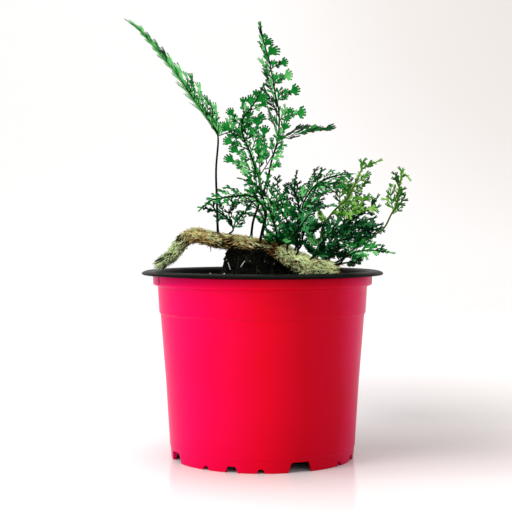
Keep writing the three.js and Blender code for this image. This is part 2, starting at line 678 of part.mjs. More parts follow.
// Closes a sheet: the same triangles below, and walls on every edge that no second triangle shares
function closeSheet(sheet) {
  const count = sheet.spots.length;
  const positions = [];
  for (const turn of [1, -1]) {
    sheet.spots.forEach((spot, i) => {
      const shifted = spot.clone().addScaledVector(sheet.halves[i], turn);
      positions.push(shifted.x, shifted.y, shifted.z);
    });
  }
  const index = [];
  const edges = new Set();
  for (const [i, j, k] of sheet.faces) {
    index.push(i, j, k, i + count, k + count, j + count);
    for (const [from, to] of [[i, j], [j, k], [k, i]]) edges.add(from * count + to);
  }
  for (const edge of edges) {
    const from = Math.floor(edge / count);
    const to = edge % count;
    if (edges.has(to * count + from)) continue;
    index.push(from + count, to, from, from + count, to + count, to);
  }
  const geometry = new THREE.BufferGeometry();
  geometry.setAttribute('position', new THREE.Float32BufferAttribute(positions, 3));
  geometry.setIndex(index);
  return geometry;
}

// Triangles between two chains of [spot, distance] that run side by side, left chain first
function addBand(sheet, leftChain, rightChain) {
  let i = 0;
  let j = 0;
  while (i + 1 < leftChain.length || j + 1 < rightChain.length) {
    const leftNext = i + 1 < leftChain.length ? leftChain[i + 1][1] : Infinity;
    const rightNext = j + 1 < rightChain.length ? rightChain[j + 1][1] : Infinity;
    if (leftNext <= rightNext) {
      sheet.faces.push([leftChain[i][0], rightChain[j][0], leftChain[i + 1][0]]);
      i += 1;
    } else {
      sheet.faces.push([leftChain[i][0], rightChain[j][0], rightChain[j + 1][0]]);
      j += 1;
    }
  }
}

// Nearest distance between the line from p to q and the line from u to v
function lineGap(p, q, u, v) {
  const first = q.clone().sub(p);
  const second = v.clone().sub(u);
  const between = p.clone().sub(u);
  const [a, b, c] = [first.lengthSq(), first.dot(second), first.dot(between)];
  const [e, f] = [second.lengthSq(), second.dot(between)];
  const spread = a * e - b * b;
  let s = spread > 1e-9 ? THREE.MathUtils.clamp((b * f - c * e) / spread, 0, 1) : 0;
  let t = (b * s + f) / e;
  if (t < 0) {
    t = 0;
    s = THREE.MathUtils.clamp(-c / a, 0, 1);
  } else if (t > 1) {
    t = 1;
    s = THREE.MathUtils.clamp((b - c) / a, 0, 1);
  }
  return between.addScaledVector(first, s).addScaledVector(second, -t).length();
}

// Room that stems and strips of leaf have already taken, which later strips keep clear of
const taken = [];

function describe(lines, radius, owner) {
  const [from, to] = owner.isStem ? lines[0] : owner.middle;
  const centre = from.clone().lerp(to, 0.5);
  const size = Math.max(...lines.flat().map((end) => end.distanceTo(centre))) + radius;
  return { lines, radius, centre, size, ...owner };
}

function isFree(strip) {
  return taken.every((other) => {
    if (strip.centre.distanceTo(other.centre) > strip.size + other.size + FROND_GAP) return true;
    const kin = strip.sheet === other.sheet;
    let room = strip.radius + other.radius + (kin ? LEAFLET_GAP : FROND_GAP);
    let [mine, others] = [strip.lines, other.lines];
    const joined = other.isStem ? strip.isFoot : other.spots.some((spot) => strip.spots.includes(spot));
    if (kin && joined) {
      mine = [strip.end];
      others = other.isStem ? other.lines : other.sides;
      room = other.isStem ? other.radius + BLADE / 2 : LOBE_GAP;
    } else if (kin && other.leaf === strip.leaf) {
      room = LOBE_GAP;
    }
    return mine.every(([p, q]) => others.every(([u, v]) => lineGap(p, q, u, v) >= room));
  });
}

// A strip of leaf from the edge between spots a (left) and b (right) to an end of its own, if there is room
function addStrip(leaf, a, b, x, y, turn, half) {
  const { sheet } = leaf;
  const left = leaf.place(x - half * Math.cos(turn), y + half * Math.sin(turn));
  const right = leaf.place(x + half * Math.cos(turn), y - half * Math.sin(turn));
  const [nearLeft, nearRight] = [sheet.spots[a], sheet.spots[b]];
  const lengthwise = (share) => [nearLeft.clone().lerp(nearRight, share), left.clone().lerp(right, share)];
  const end = [left, right];
  const sides = [[nearLeft, left], [nearRight, right], end];
  const middle = lengthwise(0.5);
  const lines = [...sides, middle];
  if (half > WIDE_HALF) lines.push(lengthwise(0.25), lengthwise(0.75));
  const owner = { sheet, leaf, middle, sides, end, spots: [a, b], isFoot: a < sheet.stemSpots };
  const strip = describe(lines, BLADE / 2, owner);
  if (!isFree(strip)) return null;
  const farLeft = addSpot(sheet, left, leaf.half.clone());
  const farRight = addSpot(sheet, right, leaf.half.clone());
  if (half > NOTCH_HALF) {
    const cut = leaf.place(x - NOTCH_DEPTH * Math.sin(turn), y - NOTCH_DEPTH * Math.cos(turn));
    const notch = addSpot(sheet, cut, leaf.half.clone());
    sheet.faces.push([a, b, notch], [b, farRight, notch], [a, notch, farLeft]);
  } else {
    sheet.faces.push([a, b, farRight], [a, farRight, farLeft]);
  }
  strip.spots.push(farLeft, farRight);
  taken.push(strip);
  return [farLeft, farRight];
}

// Leaflets and lobes still to grow, the large ones first
const queue = [];

// Grows a lobe, or a rib that carries lobes of its own, from an edge whose middle is at x, y
function growLobe({ leaf, a, b, x, y, angle, reach, leading, bend, isFan }) {
  if (reach < leaf.cut) {
    for (const [share, narrow] of LOBE_TRIES) {
      const length = reach * share;
      const fanHalf = Math.min(FAN_HALF, FAN_SPREAD * length);
      const lobeHalf = Math.min(LOBE_HALF, LOBE_ROOT + LOBE_SPREAD * length);
      const half = (isFan ? fanHalf : lobeHalf) * narrow;
      const [endX, endY] = [x + length * Math.sin(angle), y + length * Math.cos(angle)];
      if (addStrip(leaf, a, b, endX, endY, angle, half)) return;
    }
    return;
  }
  const fan = Math.min(FAN_MOST, FAN_SHARE * reach);
  const rib = reach - fan;
  const count = Math.max(2, Math.round(rib / (RIB_STEP + RIB_STEP_SHARE * reach)));
  let turn = angle;
  let [left, right] = [a, b];
  let [endX, endY] = [x, y];
  for (let i = 0; i < count; i += 1) {
    const share = i / count;
    turn += bend / count;
    const [startX, startY] = [endX, endY];
    const nextX = endX + (rib / count) * Math.sin(turn);
    const nextY = endY + (rib / count) * Math.cos(turn);
    const half = RIB_HALF * (1 - RIB_TAPER * share);
    const end = addStrip(leaf, left, right, nextX, nextY, turn, half);
    if (!end) return;
    [endX, endY] = [nextX, nextY];
    const side = i % 2 === 0 ? leading : -leading;
    const lobeShare = i % 2 === 0 ? UPPER_SHARE : LOWER_SHARE;
    const [from, to] = side > 0 ? [end[1], right] : [left, end[0]];
    queue.push({
      leaf,
      a: from,
      b: to,
      x: (startX + endX) / 2 + side * half * Math.cos(turn),
      y: (startY + endY) / 2 - side * half * Math.sin(turn),
      angle: turn + side * (LOBE_LEAN - LEAN_LOSS * share),
      reach: Math.max(LEAST_LOBE, lobeShare * reach * (1 - share) ** LOBE_POWER),
      leading: -side,
      bend: -side * LOBE_BEND,
      isFan: false,
    });
    [left, right] = end;
  }
  const last = { a: left, b: right, x: endX, y: endY, angle: turn };
  queue.push({ leaf, ...last, reach: fan, leading, bend: 0, isFan: true });
}

// Sets a leaflet to grow on the edge between spots a and b of the sheet, flat but for its droop
function addLeaflet(sheet, a, b, plan, droop, cut) {
  const { along, up, reach, leading, curl } = plan;
  const root = sheet.spots[a].clone().lerp(sheet.spots[b], 0.5);
  const across = along.clone().cross(up).normalize();
  const leaf = {
    sheet,
    cut,
    half: up.clone().multiplyScalar(BLADE / 2),
    place(x, y) {
      const far = Math.hypot(x, y) / reach;
      const spot = root.clone().addScaledVector(across, x).addScaledVector(along, y);
      return spot.addScaledVector(up, -droop * reach * far * far);
    },
  };
  queue.push({ leaf, a, b, x: 0, y: 0, angle: 0, reach, leading, bend: leading * curl, isFan: true });
}

// The side of a frond's blade that looks up, square to its heading
function upperSide(frond, share, heading) {
  const turned = Math.min(1, Math.max(0, share) / frond.turn);
  const up = point(frond.face[0]).lerp(point(frond.face[1]), turned);
  return up.addScaledVector(heading, -up.dot(heading)).normalize();
}

// The leaflets of a frond: where each stands on the rachis, how it points and how far it reaches
function leafletPlan(frond, track, fork) {
  const random = makeRandom(frond.seed);
  const length = track.total - fork;
  const plan = [];
  for (let pair = 0; pair < frond.pairs; pair += 1) {
    for (const side of [1, -1]) {
      const stagger = side > 0 ? 0 : STAGGER;
      const share = 1 - (1 - (pair + stagger) / frond.pairs) ** frond.power;
      const distance = fork + 1 + share * (length - 1) * LAST_PAIR;
      const [reach, open, close, fold, roll, curl] = side > 0 ? frond.right : frond.left;
      const tangent = track.heading(distance);
      const up = upperSide(frond, share, tangent);
      const sideways = tangent.clone().cross(up).multiplyScalar(side);
      const opened = pair > 0 ? 0 : frond.basal[side > 0 ? 4 : 3];
      const angle = THREE.MathUtils.degToRad(opened + open + (close - open) * share + random(-4, 4));
      const folded = THREE.MathUtils.degToRad(fold + (pair % 2 ? FOLD_STEP : -FOLD_STEP) + random(-2, 2));
      const outward = sideways.clone().multiplyScalar(Math.cos(folded)).addScaledVector(up, Math.sin(folded));
      const along = tangent.clone().multiplyScalar(Math.cos(angle)).addScaledVector(outward, Math.sin(angle));
      const normal = up.clone().multiplyScalar(Math.cos(folded)).addScaledVector(sideways, -Math.sin(folded));
      const longer = pair > 0 ? 1 : frond.basal[side > 0 ? 1 : 0];
      const size = Math.max(LEAST_LEAFLET, reach * longer * (1 - share) ** frond.taper * random(0.92, 1.06));
      if (pair === 0) normal.z += frond.basal[2];
      normal.addScaledVector(along, -normal.dot(along)).normalize();
      normal.applyAxisAngle(along, THREE.MathUtils.degToRad(roll));
      plan.push({ distance, side, along, up: normal, reach: size, leading: -side, curl: 3 * curl });
    }
  }
  return plan;
}

// A frond's sheet: a stipe thickest in its middle, then a flat rachis with leaflets to grow from its edges
function startFrond(frond) {
  const track = frondTrack(frond);
  const fork = track.knot(frond.fork + 1);
  const sheet = makeSheet();
  const plans = leafletPlan(frond, track, fork);
  const place = (distance, side, upright) => {
    const heading = track.heading(distance);
    const share = (distance - fork) / (track.total - fork);
    const up = upright ? upright.clone() : upperSide(frond, share, heading);
    const radius = stemRadius(distance, fork, track.total);
    const spot = track.at(distance).addScaledVector(heading.clone().cross(up), side * radius);
    const half = side === 0 ? radius : BLADE / 2;
    return [addSpot(sheet, spot, up.multiplyScalar(half)), distance];
  };
  const stipe = [0, SOCKET_REACH / 2, SOCKET_REACH];
  const steps = Math.round((fork - SOCKET_REACH) / STEM_STEP);
  for (let i = 1; i <= steps; i += 1) stipe.push(SOCKET_REACH + ((fork - SOCKET_REACH) * i) / steps);
  const rachis = [];
  const stretches = Math.round((track.total - fork) / STEM_STEP);
  for (let i = 1; i <= stretches; i += 1) rachis.push(fork + ((track.total - fork) * i) / stretches);
  const uprights = [];
  for (let i = stipe.length - 1; i >= 0; i -= 1) {
    const heading = track.heading(stipe[i]);
    const above = i === stipe.length - 1 ? upperSide(frond, 0, heading) : uprights[0];
    uprights.unshift(above.clone().addScaledVector(heading, -above.dot(heading)).normalize());
  }
  const [lefts, ridge, rights] = [-1, 0, 1].map((side) => {
    return stipe.map((distance, i) => place(distance, side, uprights[i]));
  });
  addBand(sheet, lefts, ridge);
  addBand(sheet, ridge, rights);
  const crown = stipe.length - 1;
  sheet.faces.push([lefts[crown][0], ridge[crown][0], rights[crown][0]]);
  const chains = {};
  for (const side of [-1, 1]) {
    const feet = plans.filter((plan) => plan.side === side).flatMap((plan) => [
      plan.distance - LEAFLET_FOOT, plan.distance + LEAFLET_FOOT,
    ]);
    const between = rachis.filter((station, i) => {
      return i === rachis.length - 1 || feet.every((foot) => Math.abs(foot - station) > STATION_GAP);
    });
    const start = side < 0 ? lefts[crown] : rights[crown];
    const along = [...feet, ...between].sort((m, n) => m - n);
    chains[side] = [start, ...along.map((distance) => place(distance, side))];
  }
  addBand(sheet, chains[-1], chains[1]);
  const tips = [chains[-1], chains[1]].map((chain) => chain[chain.length - 1][0]);
  sheet.stemSpots = sheet.spots.length;
  const stations = [...stipe, ...rachis];
  stations.slice(1).forEach((station, i) => {
    const line = [track.at(stations[i]), track.at(station)];
    taken.push(describe([line], stemRadius(stations[i], fork, track.total), { sheet, isStem: true }));
  });
  for (const plan of plans) {
    const chain = chains[plan.side];
    const foot = chain.findIndex(([, distance]) => Math.abs(distance - plan.distance + LEAFLET_FOOT) < 1e-6);
    const [low, high] = [chain[foot][0], chain[foot + 1][0]];
    const [a, b] = plan.side > 0 ? [high, low] : [low, high];
    addLeaflet(sheet, a, b, plan, frond.droop, frond.cut);
  }
  const end = track.heading(track.total);
  const tip = { along: end, up: upperSide(frond, 1, end), reach: TIP_FAN, leading: 1, curl: 0 };
  addLeaflet(sheet, tips[0], tips[1], tip, 0, frond.cut);
  return sheet;
}

// The plain hole that a stipe stands in, a seat gap wider and deeper than the stipe
function makeSocket(frond) {
  const track = frondTrack(frond);
  const radius = (STIPE_RADIUS + SEAT_GAP) / Math.cos(Math.PI / SOCKET_SIDES);
  const centres = [0, 0.5, 1].map((share) => track.at(share * SOCKET_REACH));
  centres[0].addScaledVector(track.heading(0), -SEAT_GAP);
  return toSolid(stemGeometry(centres, centres.map(() => radius), SOCKET_SIDES));
}

const sockets = gather(FRONDS.map(makeSocket));
const mix = makeMixBody().add(makeRootBall()).subtract(makeRhizome(SEAT_GAP)).subtract(sockets);

const fern = new THREE.Group();
fern.add(makeOuterPot());
fern.add(makeLiner());
fern.add(toMesh('potting_mix', mix, material(COLOURS.mix, 0.95)));
fern.add(toMesh('rhizome', makeRhizome(0).subtract(sockets), material(COLOURS.rhizome, 0.9)));
for (const name of Object.keys(RUNNERS)) {
  const track = runnerTrack(name);
  for (let share = 0; share < 1; share += RUNNER_SHARE) {
    const line = [track.at(share * track.total), track.at((share + RUNNER_SHARE) * track.total)];
    taken.push(describe([line], runnerRadius(name, share), { sheet: null, isStem: true }));
  }
}
const sheets = FRONDS.map(startFrond);
while (queue.length > 0) growLobe(queue.shift());
FRONDS.forEach((frond, i) => {
  const solid = toSolid(closeSheet(sheets[i]));
  fern.add(toMesh(frond.name, solid, material(COLOURS[frond.tone], 0.5)));
});

export default fern;
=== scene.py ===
"""Looks of a potted rabbits foot fern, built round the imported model. Blender 4.5, metres, +Z up."""

import math

import bmesh
import bpy
import numpy as np
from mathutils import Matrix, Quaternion, Vector, noise


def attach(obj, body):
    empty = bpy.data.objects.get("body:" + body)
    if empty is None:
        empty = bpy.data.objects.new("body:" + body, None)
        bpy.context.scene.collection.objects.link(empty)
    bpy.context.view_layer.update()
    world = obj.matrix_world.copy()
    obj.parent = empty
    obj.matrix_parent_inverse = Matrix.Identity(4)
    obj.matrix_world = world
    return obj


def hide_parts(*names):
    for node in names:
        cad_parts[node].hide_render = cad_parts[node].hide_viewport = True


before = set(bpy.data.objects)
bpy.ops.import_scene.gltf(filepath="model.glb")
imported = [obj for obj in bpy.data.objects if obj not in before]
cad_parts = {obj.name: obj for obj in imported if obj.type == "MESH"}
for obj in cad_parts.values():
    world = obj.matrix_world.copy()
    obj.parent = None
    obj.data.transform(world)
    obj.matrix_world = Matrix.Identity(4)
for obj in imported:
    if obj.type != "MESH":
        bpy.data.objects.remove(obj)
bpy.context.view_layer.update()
MM = 0.001
FULL_TURN = 2 * math.pi
UP = Vector((0, 0, 1))


# Camera at the photograph's viewing angle

def stand(obj, place, target):
    """Puts a camera or a light into the scene, turned towards the target."""
    obj.location = place
    obj.rotation_mode = "QUATERNION"
    obj.rotation_quaternion = (Vector(target) - Vector(place)).to_track_quat("-Z", "Y")
    bpy.context.scene.collection.objects.link(obj)
    return obj


camera_data = bpy.data.cameras.new("camera")
camera_data.sensor_width = 36.0
camera_data.lens = 81.78
camera_data.clip_start = 0.01
camera_data.clip_end = 20.0
bpy.context.scene.camera = stand(
    bpy.data.objects.new("camera", camera_data), (0.0, -0.633, 0.124), (-0.0035, 0.0, 0.1088))


# Materials

CLOUD_SHARE = 0.12


def linear(colour):
    """An sRGB colour, 0 to 255, as the shader's linear values."""
    values = [c / 255 for c in colour]
    return [c / 12.92 if c < 0.04045 else ((c + 0.055) / 1.055) ** 2.4 for c in values] + [1.0]


def pair(low, high):
    """A dark and a light colour as the stops of a ramp that noise fills."""
    return [(0.3, low), (0.7, high)]


class Look:
    """A material whose nodes are added one after another."""

    def __init__(self, name, roughness, specular):
        self.material = bpy.data.materials.new(name)
        self.material.use_nodes = True
        self.tree = self.material.node_tree
        self.shader = self.tree.nodes["Principled BSDF"]
        self.shader.inputs["Roughness"].default_value = roughness
        self.shader.inputs["Specular IOR Level"].default_value = specular

    def add(self, kind, values, sources):
        """A node with some inputs set to values and others joined to outputs."""
        node = self.tree.nodes.new(kind)
        for name, value in values.items():
            node.inputs[name].default_value = value
        for name, source in sources.items():
            self.tree.links.new(source, node.inputs[name])
        return node

    def join(self, source, name):
        self.tree.links.new(source, self.shader.inputs[name])

    def place(self):
        return self.add("ShaderNodeTexCoord", {}, {}).outputs["Object"]

    def noise(self, scale, detail, roughness, stretch=None):
        place = self.place()
        if stretch:
            place = self.add("ShaderNodeMapping", {"Scale": stretch}, {"Vector": place}).outputs["Vector"]
        values = {"Scale": scale, "Detail": detail, "Roughness": roughness}
        return self.add("ShaderNodeTexNoise", values, {"Vector": place}).outputs["Fac"]

    def across(self, cloud, painted_light_half_width, share):
        """From 0 at the left to 1 at the right, with a share of the cloud mixed in: the run of painted light
        and shade across an object.
        """
        parts = self.add("ShaderNodeSeparateXYZ", {}, {"Vector": self.place()})
        ends = {"From Min": -painted_light_half_width, "From Max": painted_light_half_width}
        along = self.add("ShaderNodeMapRange", ends, {"Value": parts.outputs["X"]})
        blend = self.add("ShaderNodeMix", {"Factor": share}, {"A": along.outputs["Result"], "B": cloud})
        return blend.outputs["Result"]

    def ramp(self, source, stops):
        node = self.add("ShaderNodeValToRGB", {}, {"Fac": source})
        elements = node.color_ramp.elements
        elements[0].position, elements[0].color = stops[0][0], linear(stops[0][1])
        elements[1].position, elements[1].color = stops[-1][0], linear(stops[-1][1])
        for position, colour in stops[1:-1]:
            elements.new(position).color = linear(colour)
        return node.outputs["Color"]


def grained(name, stops, roughness, specular, cloud, spread, grain, painted_light_half_width=None):
    """A surface with clouds of colour and a fine grain.

    cloud: the noise's scale, detail, roughness and stretch. spread: how far the roughness goes
    down and up with it. grain: scale, strength and depth. The half width at the end: where the
    colours run from left to right instead, as painted light and shade across the object.
    """
    look = Look(name, roughness, specular)
    clouds = look.noise(*cloud)
    source = look.across(clouds, painted_light_half_width, CLOUD_SHARE) if painted_light_half_width else clouds
    look.join(look.ramp(source, stops), "Base Color")
    if spread:
        ends = {"To Min": roughness - spread[0], "To Max": roughness + spread[1]}
        look.join(look.add("ShaderNodeMapRange", ends, {"Value": clouds}).outputs["Result"], "Roughness")
    scale, strength, depth = grain
    height = look.noise(scale, 2.0, 0.5)
    bump = look.add("ShaderNodeBump", {"Strength": strength, "Distance": depth}, {"Height": height})
    look.join(bump.outputs["Normal"], "Normal")
    return look.material


def plastic(name, stops, roughness, strength, cloud, painted_light_half_width=None):
    stretched = (*cloud, (1.0, 1.0, 2.4))
    return grained(
        name, stops, roughness, 0.04, stretched, (0.07, 0.09), (900.0, strength, 0.0002), painted_light_half_width)


def leaf_look(name, stops):
    return grained(name, stops, 0.42, 0.025, (130.0, 4.0, 0.6), (0.1, 0.14), (1500.0, 0.25, 0.00025))


def fibre(name, stops, roughness, scale):
    return grained(name, stops, roughness, 0.06, (scale, 3.0, 0.6), None, (2600.0, 0.4, 0.0002))


# Painted light and shade: the red runs from crimson with a painted sheen on the pot's left, where
# the key light falls, through a shaded deeper red to a pale painted sheen at its right edge
RED_PLASTIC_WITH_PAINTED_SHEEN = plastic("red_plastic", [
    (0.06, (225, 0, 104)), (0.3, (228, 0, 66)), (0.5, (212, 0, 32)), (0.66, (184, 0, 24)),
    (0.8, (186, 0, 34)), (0.88, (206, 18, 76)), (0.94, (224, 60, 112)),
], 0.3, 0.1, (16.0, 3.0, 0.5), 0.058)
DARK_PLASTIC = plastic("dark_plastic", pair((2, 4, 2), (7, 10, 7)), 0.38, 0.2, (22.0, 4.0, 0.6))

SOIL, BARK, PERLITE, ROOT = range(4)
MIX_LOOKS = [
    fibre("potting_mix", [(0.3, (3, 4, 3)), (0.55, (9, 10, 7)), (0.8, (28, 26, 18))], 0.95, 420.0),
    fibre("bark_crumbs", [(0.3, (8, 9, 6)), (0.6, (30, 28, 18)), (0.85, (70, 62, 44))], 0.9, 500.0),
    fibre("perlite", pair((196, 192, 184), (238, 236, 230)), 0.85, 700.0),
    fibre("roots", pair((10, 14, 10), (58, 56, 42)), 0.85, 500.0),
]

CORE, TAN, BROWN, CREAM, GREEN, DARK, RUST = range(7)
FUR_LOOKS = [
    fibre("rhizome_bark", pair((22, 15, 7), (58, 42, 22)), 0.9, 400.0),
    fibre("fur_tan", pair((140, 104, 40), (252, 222, 150)), 0.75, 500.0),
    fibre("fur_brown", pair((62, 40, 14), (142, 102, 54)), 0.75, 500.0),
    fibre("fur_cream", pair((192, 212, 140), (244, 254, 206)), 0.75, 500.0),
    fibre("fur_green", pair((150, 186, 112), (232, 248, 198)), 0.75, 500.0),
    fibre("fur_dark", pair((12, 10, 4), (40, 32, 14)), 0.8, 500.0),
    fibre("fur_rust", pair((120, 62, 22), (180, 112, 56)), 0.8, 500.0),
]

# The edge tone is painted shade: the darker colour on each lobe's rims and finger ends
STEM, LEAF, SHADED_EDGE, DEEP, PALE = range(5)
TONES = {
    "green": {
        "stem": ((1, 4, 1), (6, 15, 5)), "blade": ((6, 78, 22), (16, 106, 36), (40, 138, 58)),
        "edge": ((0, 20, 6), (3, 48, 18)), "deep": ((0, 26, 4), (4, 68, 20)),
        "pale": ((48, 142, 60), (112, 190, 112)),
    },
    "dark": {
        "stem": ((1, 3, 1), (4, 11, 5)), "blade": ((1, 42, 17), (4, 62, 28), (16, 92, 44)),
        "edge": ((0, 8, 3), (1, 24, 10)), "deep": ((0, 12, 3), (1, 38, 14)),
        "pale": ((18, 92, 42), (68, 148, 86)),
    },
    "young": {
        "stem": ((30, 52, 22), (82, 112, 44)), "blade": ((36, 98, 18), (62, 124, 28), (100, 156, 52)),
        "edge": ((16, 46, 8), (48, 88, 20)), "deep": ((14, 56, 10), (40, 92, 22)),
        "pale": ((104, 164, 60), (150, 196, 104)),
    },
}
FROND_LOOKS = {
    tone: [
        fibre("stem_" + tone, pair(*colours["stem"]), 0.5 if tone == "young" else 0.7, 90.0),
        leaf_look("leaf_" + tone, list(zip((0.3, 0.5, 0.72), colours["blade"]))),
        *(leaf_look(f"leaf_{tone}_{part}", pair(*colours[part])) for part in ("edge", "deep", "pale")),
    ]
    for tone, colours in TONES.items()
}


# Helpers

def make_random(seed):
    state = [seed]

    def draw(low, high):
        state[0] = (state[0] * 1664525 + 1013904223) % 4294967296
        return low + (high - low) * (state[0] / 4294967296)

    return draw


def jitter(draw, reach):
    return Vector((draw(-reach, reach), draw(-reach, reach), draw(-reach, reach)))


def any_way(draw):
    return jitter(draw, 1).normalized()


def level(up, along):
    """The direction nearest to up that is square to along."""
    return (up - along * up.dot(along)).normalized()


def settle(obj, slot, *nodes):
    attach(obj, "root")
    if nodes:
        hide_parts(*nodes)
    return obj


def smooth_faces(mesh, sharp):
    """Shades a mesh smooth, apart from edges that bend by more than sharp degrees."""
    mesh.polygons.foreach_set("use_smooth", np.full(len(mesh.polygons), True))
    mesh.set_sharp_from_angle(angle=math.radians(sharp))


def make_object(name, vertices, faces, materials, slots=None, sharp=None):
    """A mesh object from millimetre points; slots gives each face's place in materials."""
    mesh = bpy.data.meshes.new(name)
    mesh.from_pydata([Vector(v) * MM for v in vertices], [], faces)
    for material in materials:
        mesh.materials.append(material)
    if slots is not None:
        mesh.polygons.foreach_set("material_index", np.array(slots, np.int32))
    mesh.update()
    if sharp is not None:
        smooth_faces(mesh, sharp)
    obj = bpy.data.objects.new(name, mesh)
    bpy.context.scene.collection.objects.link(obj)
    return obj


class Parts:
    """Vertices and faces gathered for one mesh, with a material slot for each face."""

    def __init__(self):
        self.vertices, self.faces, self.slots = [], [], []

    def spot(self, place):
        self.vertices.append(place)
        return len(self.vertices) - 1

    def add(self, face, slot):
        self.faces.append(tuple(face))
        self.slots.append(slot)

    def wrap(self, first, rings, sides, slot, flip=False):
        """Faces between rings of points that follow one another from the point first on."""
        for k in range(rings - 1):
            for s in range(sides):
                a, b = first + k * sides + s, first + k * sides + (s + 1) % sides
                self.add((a, a + sides, b + sides, b) if flip else (a, b, b + sides, a + sides), slot)

    def cap(self, first, sides, slot, flip=False):
        ring = range(first, first + sides)
        self.add(reversed(ring) if flip else ring, slot)

    def close(self, first, rings, sides, slot, flip=False):
        """Faces round the rings and over both of their ends."""
        self.wrap(first, rings, sides, slot, flip)
        self.cap(first, sides, slot, not flip)
        self.cap(first + (rings - 1) * sides, sides, slot, flip)

    def tube(self, centres, radii, sides, slot):
        across = Vector((0.31, 0.87, 0.23))
        first = len(self.vertices)
        for k, centre in enumerate(centres):
            along = (centres[min(k + 1, len(centres) - 1)] - centres[max(k - 1, 0)]).normalized()
            across = level(across, along)
            side = along.cross(across)
            for s in range(sides):
                turn = FULL_TURN * s / sides
                self.spot(centre + (across * math.cos(turn) + side * math.sin(turn)) * radii[k])
        self.close(first, len(centres), sides, slot)

    def build(self, name, materials, sharp=None):
        return make_object(name, self.vertices, self.faces, materials, self.slots, sharp)


class Track:
    """A smooth line through points, measured along its length."""

    STEPS = 24
    REACH = 0.6

    def __init__(self, points):
        spans = len(points) - 1
        ends = [points[0] * 2 - points[1], *points, points[-1] * 2 - points[-2]]
        self.places, self.lengths = [], [0.0]
        for i in range(self.STEPS * spans + 1):
            k = min(i // self.STEPS, spans - 1)
            t = i / self.STEPS - k
            p0, p1, p2, p3 = ends[k:k + 4]
            t0, t1 = (p2 - p0) * 0.5, (p3 - p1) * 0.5
            square, cube = p1 * -3 + p2 * 3 - t0 * 2 - t1, p1 * 2 - p2 * 2 + t0 + t1
            place = p1 + t0 * t + square * t ** 2 + cube * t ** 3
            self.places.append(place)
            if i:
                self.lengths.append(self.lengths[-1] + (place - self.places[-2]).length)
        self.total = self.lengths[-1]

    def at(self, distance):
        wanted = min(max(distance, 0.0), self.total)
        i = min(max(int(np.searchsorted(self.lengths, wanted)), 1), len(self.places) - 1)
        share = (wanted - self.lengths[i - 1]) / (self.lengths[i] - self.lengths[i - 1])
        return self.places[i - 1].lerp(self.places[i], share)

    def heading(self, distance):
        return (self.at(distance + self.REACH) - self.at(distance - self.REACH)).normalized()

    def knot(self, i):
        return self.lengths[self.STEPS * i]


# Pot: the same radii and heights as the CAD pot, with its corners rounded

POT_SIDES = 224
# The angle of each notch in the foot's first quarter, its width below and above, and its height
FOOT_NOTCHES = [(-67, 13.5, 10.0, 5.4), (-36, 4.0, 3.0, 2.3), (-18.5, 7.0, 4.6, 3.3), (-1, 4.0, 3.0, 2.3)]
DRAIN_RADIUS, DRAIN_FROM_AXIS, DRAIN_SIDES = 4.0, 31, 32
TICK_ANGLES = (-66, 78, 114, -102)
UNDERSIDE, UNDER_HEIGHT, UNDER_RADIUS = 6.8, 7.5, 48.3
RED_THICK, LINING_THICK = 1.3, (1.7, 2.7)
CUT_SHARP = 28
UNDER = [(0.0, UNDERSIDE), (47.8, UNDERSIDE), (47.8, 0.25), (48.05, 0.0), (49.2, 0.0), (49.5, 0.3)]
OUTER = [
    (49.5, 0.0), (50.1, 6.6), (50.35, 7.0), (52.4, 41.0), (55.3, 77.6), (55.55, 78.0), (56.0, 78.7),
    (56.8, 92.5), (57.2, 93.0), (59.0, 93.5), (59.3, 94.2), (59.4, 98.6),
]
LIP = [
    (59.8, 99.0), (60.6, 98.95), (64.2, 98.85), (65.1, 99.0), (65.45, 99.4), (65.45, 99.8), (65.0, 100.3),
    (63.9, 100.8), (62.4, 101.15), (60.8, 101.2), (59.3, 100.95), (58.1, 100.4), (57.4, 99.6), (57.1, 98.8),
    (57.0, 98.0),
]


def wall_radius(height):
    for (low_radius, low), (high_radius, high) in zip(OUTER, OUTER[1:]):
        if height <= high:
            return low_radius + (high_radius - low_radius) * (height - low) / (high - low)
    return OUTER[-1][0]


def inset(thickness, bottom, top):
    """The wall's profile moved in by a thickness, between two heights."""
    heights = [bottom, *[z for _, z in OUTER if bottom + 1 < z < top - 1], top]
    return [(wall_radius(z) - thickness, z) for z in heights]


def lathe(profile, sides):
    """Points and faces of a closed ring profile of (radius, height) turned about Z."""
    vertices, faces = [], []
    for s in range(sides):
        turn = FULL_TURN * s / sides
        vertices += [Vector((r * math.cos(turn), r * math.sin(turn), z)) for r, z in profile]
    count = len(profile)
    for s in range(sides):
        for k in range(count):
            here, there = s * count, ((s + 1) % sides) * count
            near, far = k, (k + 1) % count
            faces.append((here + near, there + near, there + far, here + far))
    return vertices, faces


def rounded(points, radius, steps):
    """The open profile again with each inner corner rounded."""
    result = [points[0]]
    for before, corner, after in zip(points, points[1:], points[2:]):
        c = Vector(corner)
        one, two = Vector(before) - c, Vector(after) - c
        reach = min(radius, one.length * 0.45, two.length * 0.45)
        start, end = c + one.normalized() * reach, c + two.normalized() * reach
        for i in range(steps + 1):
            t = i / steps
            result.append(tuple(start * (1 - t) ** 2 + c * 2 * t * (1 - t) + end * t ** 2))
    return result + [points[-1]]


def out_and_side(angle):
    """The directions out of the pot and along its wall; angle 0 is at the front."""
    spin = math.radians(angle)
    return (Vector((math.sin(spin), -math.cos(spin), 0.0)), Vector((math.cos(spin), math.sin(spin), 0.0)))


